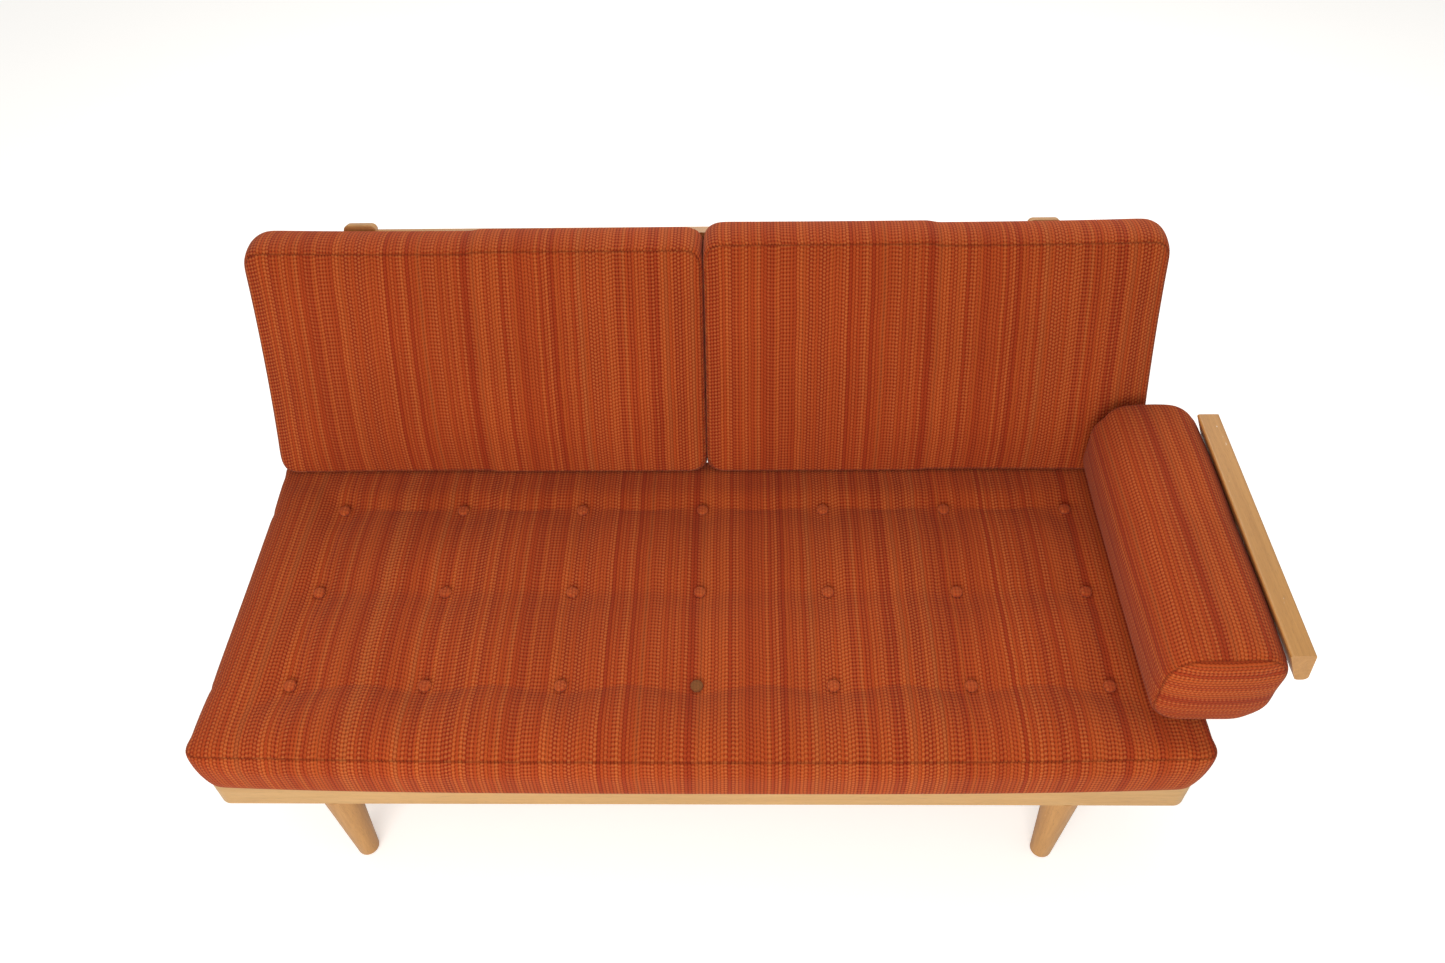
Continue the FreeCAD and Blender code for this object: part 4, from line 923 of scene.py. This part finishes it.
class DAYBED_OT_timber(bpy.types.Operator):
    """Lacquer the timbers, each with its grain along its own length."""
    bl_idname = "daybed.timber"
    bl_label = "Timber"

    def execute(self, context):
        colours = context.scene.daybed_timber
        quarter = math.pi / 2
        along_x, along_y, along_z = (0, 0, 0), (0, 0, -quarter), (0, quarter, 0)
        leaning = (context.scene.daybed_cushions.lean, 0, 0)
        beech = (colours.beech_pale, colours.beech_deep)
        golden = (colours.golden_pale, colours.golden_deep)
        slats = (colours.slat_pale, colours.slat_deep)
        finish_nodes(timber_material("beech along the bed", *beech, along_x, 0.1), "front_rail",
                     "rear_rail", "front_ledger", "rear_ledger", "middle_beam",
                     *starting_with("corner_block_"))
        finish_nodes(timber_material("beech across the bed", *beech, along_y, 0.1), "left_end_rail",
                     "right_end_rail", "leg_bearer_left", "leg_bearer_right")
        finish_nodes(timber_material("slat timber", *slats, along_y, 0.0),
                     *(name for name in starting_with("slat_") if name[-1].isdigit()))
        finish_nodes(timber_material("turned legs", *golden, along_z, 0.35),
                     *starting_with("leg_front_"), *starting_with("leg_rear_"))
        finish_nodes(timber_material("upright posts", *golden, along_z, 0.2),
                     *starting_with("back_post_"), *starting_with("arm_post_"))
        finish_nodes(timber_material("backrest rails", *golden, leaning, 0.1), "back_top_rail",
                     "back_middle_rail", "back_lower_rail")
        finish_nodes(timber_material("armrest bar", *golden, along_y, 1.0), "arm_rail")
        return {"FINISHED"}


class DAYBED_OT_fittings(bpy.types.Operator):
    """Finish the sockets, screws, studs, glides and tuft discs."""
    bl_idname = "daybed.fittings"
    bl_label = "Fittings"

    def execute(self, context):
        for label, colour, metal, rough, grain, depth, names in (
                ("black enamel", (0.025, 0.025, 0.026), 0.0, (0.32, 0.5), 900.0, 0.0002,
                 (*starting_with("back_socket_"), *starting_with("arm_socket_"))),
                ("zinc plate", (0.60, 0.60, 0.57), 1.0, (0.28, 0.45), 1500.0, 0.0001,
                 ("slat_screws", "bearer_screws", "socket_screws", "leg_studs")),
                ("dark glide", (0.040, 0.033, 0.028), 0.0, (0.5, 0.75), 700.0, 0.0002,
                 (*starting_with("glide_"), "mattress_tuft_discs"))):
            finish_nodes(speckled_material(label, colour, metal, rough, grain, depth), *names)
        return {"FINISHED"}


def soft_light(name, place, aim, size, power, colour):
    """A large rectangular lamp that points at a spot."""
    data = bpy.data.lights.new(name, "AREA")
    data.shape = "RECTANGLE"
    data.size, data.size_y = size
    data.energy = power
    data.color = colour
    lamp = bpy.data.objects.new(name, data)
    lamp.location = place
    lamp.rotation_euler = (Vector(aim) - Vector(place)).to_track_quat("-Z", "Y").to_euler()
    bpy.context.scene.collection.objects.link(lamp)
    return lamp


class DAYBED_OT_studio(bpy.types.Operator):
    """Lay a pale floor, hang soft lights and set up the camera."""
    bl_idname = "daybed.studio"
    bl_label = "Studio"

    def lay_floor(self, studio):
        """The floor is a flat grid at the object's lowest point; its own glow keeps shadows faint."""
        count = 9
        side = np.linspace(-studio.floor_size / 2, studio.floor_size / 2, count)
        grid_x, grid_y = np.meshgrid(side, side, indexing="ij")
        points = np.stack([grid_x, grid_y, np.zeros_like(grid_x)], axis=2).reshape(-1, 3)
        ids = np.arange(count ** 2).reshape(count, count)
        faces = np.stack([ids[:-1, :-1], ids[1:, :-1], ids[1:, 1:], ids[:-1, 1:]], axis=2).reshape(-1, 4)
        material, tree, shader = new_material("studio floor")
        place = add_node(tree, "ShaderNodeTexCoord").outputs["Object"]
        mottle = noise(tree, place, 3.0, 3.0)
        pale = mix_colour(tree, mottle, rgba([part * 0.985 for part in studio.floor]), rgba(studio.floor))
        seen = add_node(tree, "ShaderNodeLightPath").outputs["Is Camera Ray"]
        join(tree, shader, {"Base Color": pale, "Roughness": 0.9, "Specular IOR Level": 0.1,
                            "Emission Strength": times(tree, seen, 0.45),
                            "Emission Color": (1.0, 0.985, 0.955, 1.0)})
        floor = mesh_piece("studio_floor", points, faces, points[faces.ravel(), :2],
                           np.zeros(len(points)), material)

    def hang_lights(self, studio):
        """White light from all round, one soft lamp in front and one above."""
        world = bpy.data.worlds.new("studio")
        world.use_nodes = True
        tree = world.node_tree
        sky = tree.nodes["Background"]
        sky.inputs[0].default_value = (1.0, 0.99, 0.975, 1.0)
        seen = add_node(tree, "ShaderNodeLightPath").outputs["Is Camera Ray"]
        tree.links.new(calc(tree, "MULTIPLY_ADD", seen, 1.0 - studio.sky, studio.sky), sky.inputs[1])
        bpy.context.scene.world = world
        aim = (0.0, 0.0, 0.4)
        soft_light("key", (-0.5, -2.9, 2.1), aim, (2.4, 1.4), studio.key, (1.0, 0.985, 0.96))
        soft_light("fill", (0.3, 2.3, 2.6), aim, (3.2, 1.8), studio.fill, (1.0, 0.99, 0.98))

    def set_camera(self, studio):
        """The camera looks along +Y, then turns by its yaw, pitch and roll."""
        yaw, pitch, roll = studio.yaw, studio.pitch, studio.roll
        ahead = Vector((math.sin(yaw), math.cos(yaw), 0))
        right = Vector((math.cos(yaw), -math.sin(yaw), 0))
        above = Vector((0, 0, 1))
        forward = ahead * math.cos(pitch) - above * math.sin(pitch)
        upward = above * math.cos(pitch) + ahead * math.sin(pitch)
        side = right * math.cos(roll) + upward * math.sin(roll)
        top = upward * math.cos(roll) - right * math.sin(roll)
        data = bpy.data.cameras.new("camera")
        data.sensor_fit = "HORIZONTAL"
        data.sensor_width = 36.0
        data.lens = studio.lens
        camera = bpy.data.objects.new("camera", data)
        camera.matrix_world = Matrix.Translation(Vector(studio.eye)) \
            @ Matrix((side, top, -forward)).transposed().to_4x4()
        bpy.context.scene.collection.objects.link(camera)
        bpy.context.scene.camera = camera

    def execute(self, context):
        studio = context.scene.daybed_studio
        self.lay_floor(studio)
        self.hang_lights(studio)
        self.set_camera(studio)
        context.scene.view_settings.view_transform = "Standard"
        return {"FINISHED"}


# ---------------------------------------------------------------- add-on

SETTINGS = (("daybed_mattress", DAYBED_PG_mattress), ("daybed_cushions", DAYBED_PG_cushions),
            ("daybed_bolster", DAYBED_PG_bolster), ("daybed_wool", DAYBED_PG_wool),
            ("daybed_timber", DAYBED_PG_timber), ("daybed_studio", DAYBED_PG_studio))
OPERATORS = (DAYBED_OT_studio, DAYBED_OT_mattress, DAYBED_OT_buttons, DAYBED_OT_back_cushions,
             DAYBED_OT_bolster, DAYBED_OT_timber, DAYBED_OT_fittings)


class DAYBED_PT_workshop(bpy.types.Panel):
    """The daybed's pieces, in the order in which they are made."""
    bl_idname = "DAYBED_PT_workshop"
    bl_label = "Daybed"
    bl_space_type = "VIEW_3D"
    bl_region_type = "UI"
    bl_category = "Daybed"

    def draw(self, context):
        for operator in OPERATORS:
            self.layout.operator(operator.bl_idname)
        for name, group in SETTINGS:
            part = self.layout.box()
            part.label(text=group.__doc__)
            for setting in group.__annotations__:
                part.prop(getattr(context.scene, name), setting)


def register():
    """Add the settings, the operators and the panel."""
    for name, group in SETTINGS:
        bpy.utils.register_class(group)
        setattr(bpy.types.Scene, name, PointerProperty(type=group))
    for operator in OPERATORS:
        bpy.utils.register_class(operator)
    bpy.utils.register_class(DAYBED_PT_workshop)


def unregister():
    """Take everything away again."""
    bpy.utils.unregister_class(DAYBED_PT_workshop)
    for operator in reversed(OPERATORS):
        bpy.utils.unregister_class(operator)
    for name, group in reversed(SETTINGS):
        delattr(bpy.types.Scene, name)
        bpy.utils.unregister_class(group)


def main():
    """Make every piece."""
    register()
    bpy.ops.daybed.studio()
    bpy.ops.daybed.mattress()
    bpy.ops.daybed.buttons()
    bpy.ops.daybed.back_cushions()
    bpy.ops.daybed.bolster()
    bpy.ops.daybed.timber()
    bpy.ops.daybed.fittings()


if __name__ == "__main__":
    main()
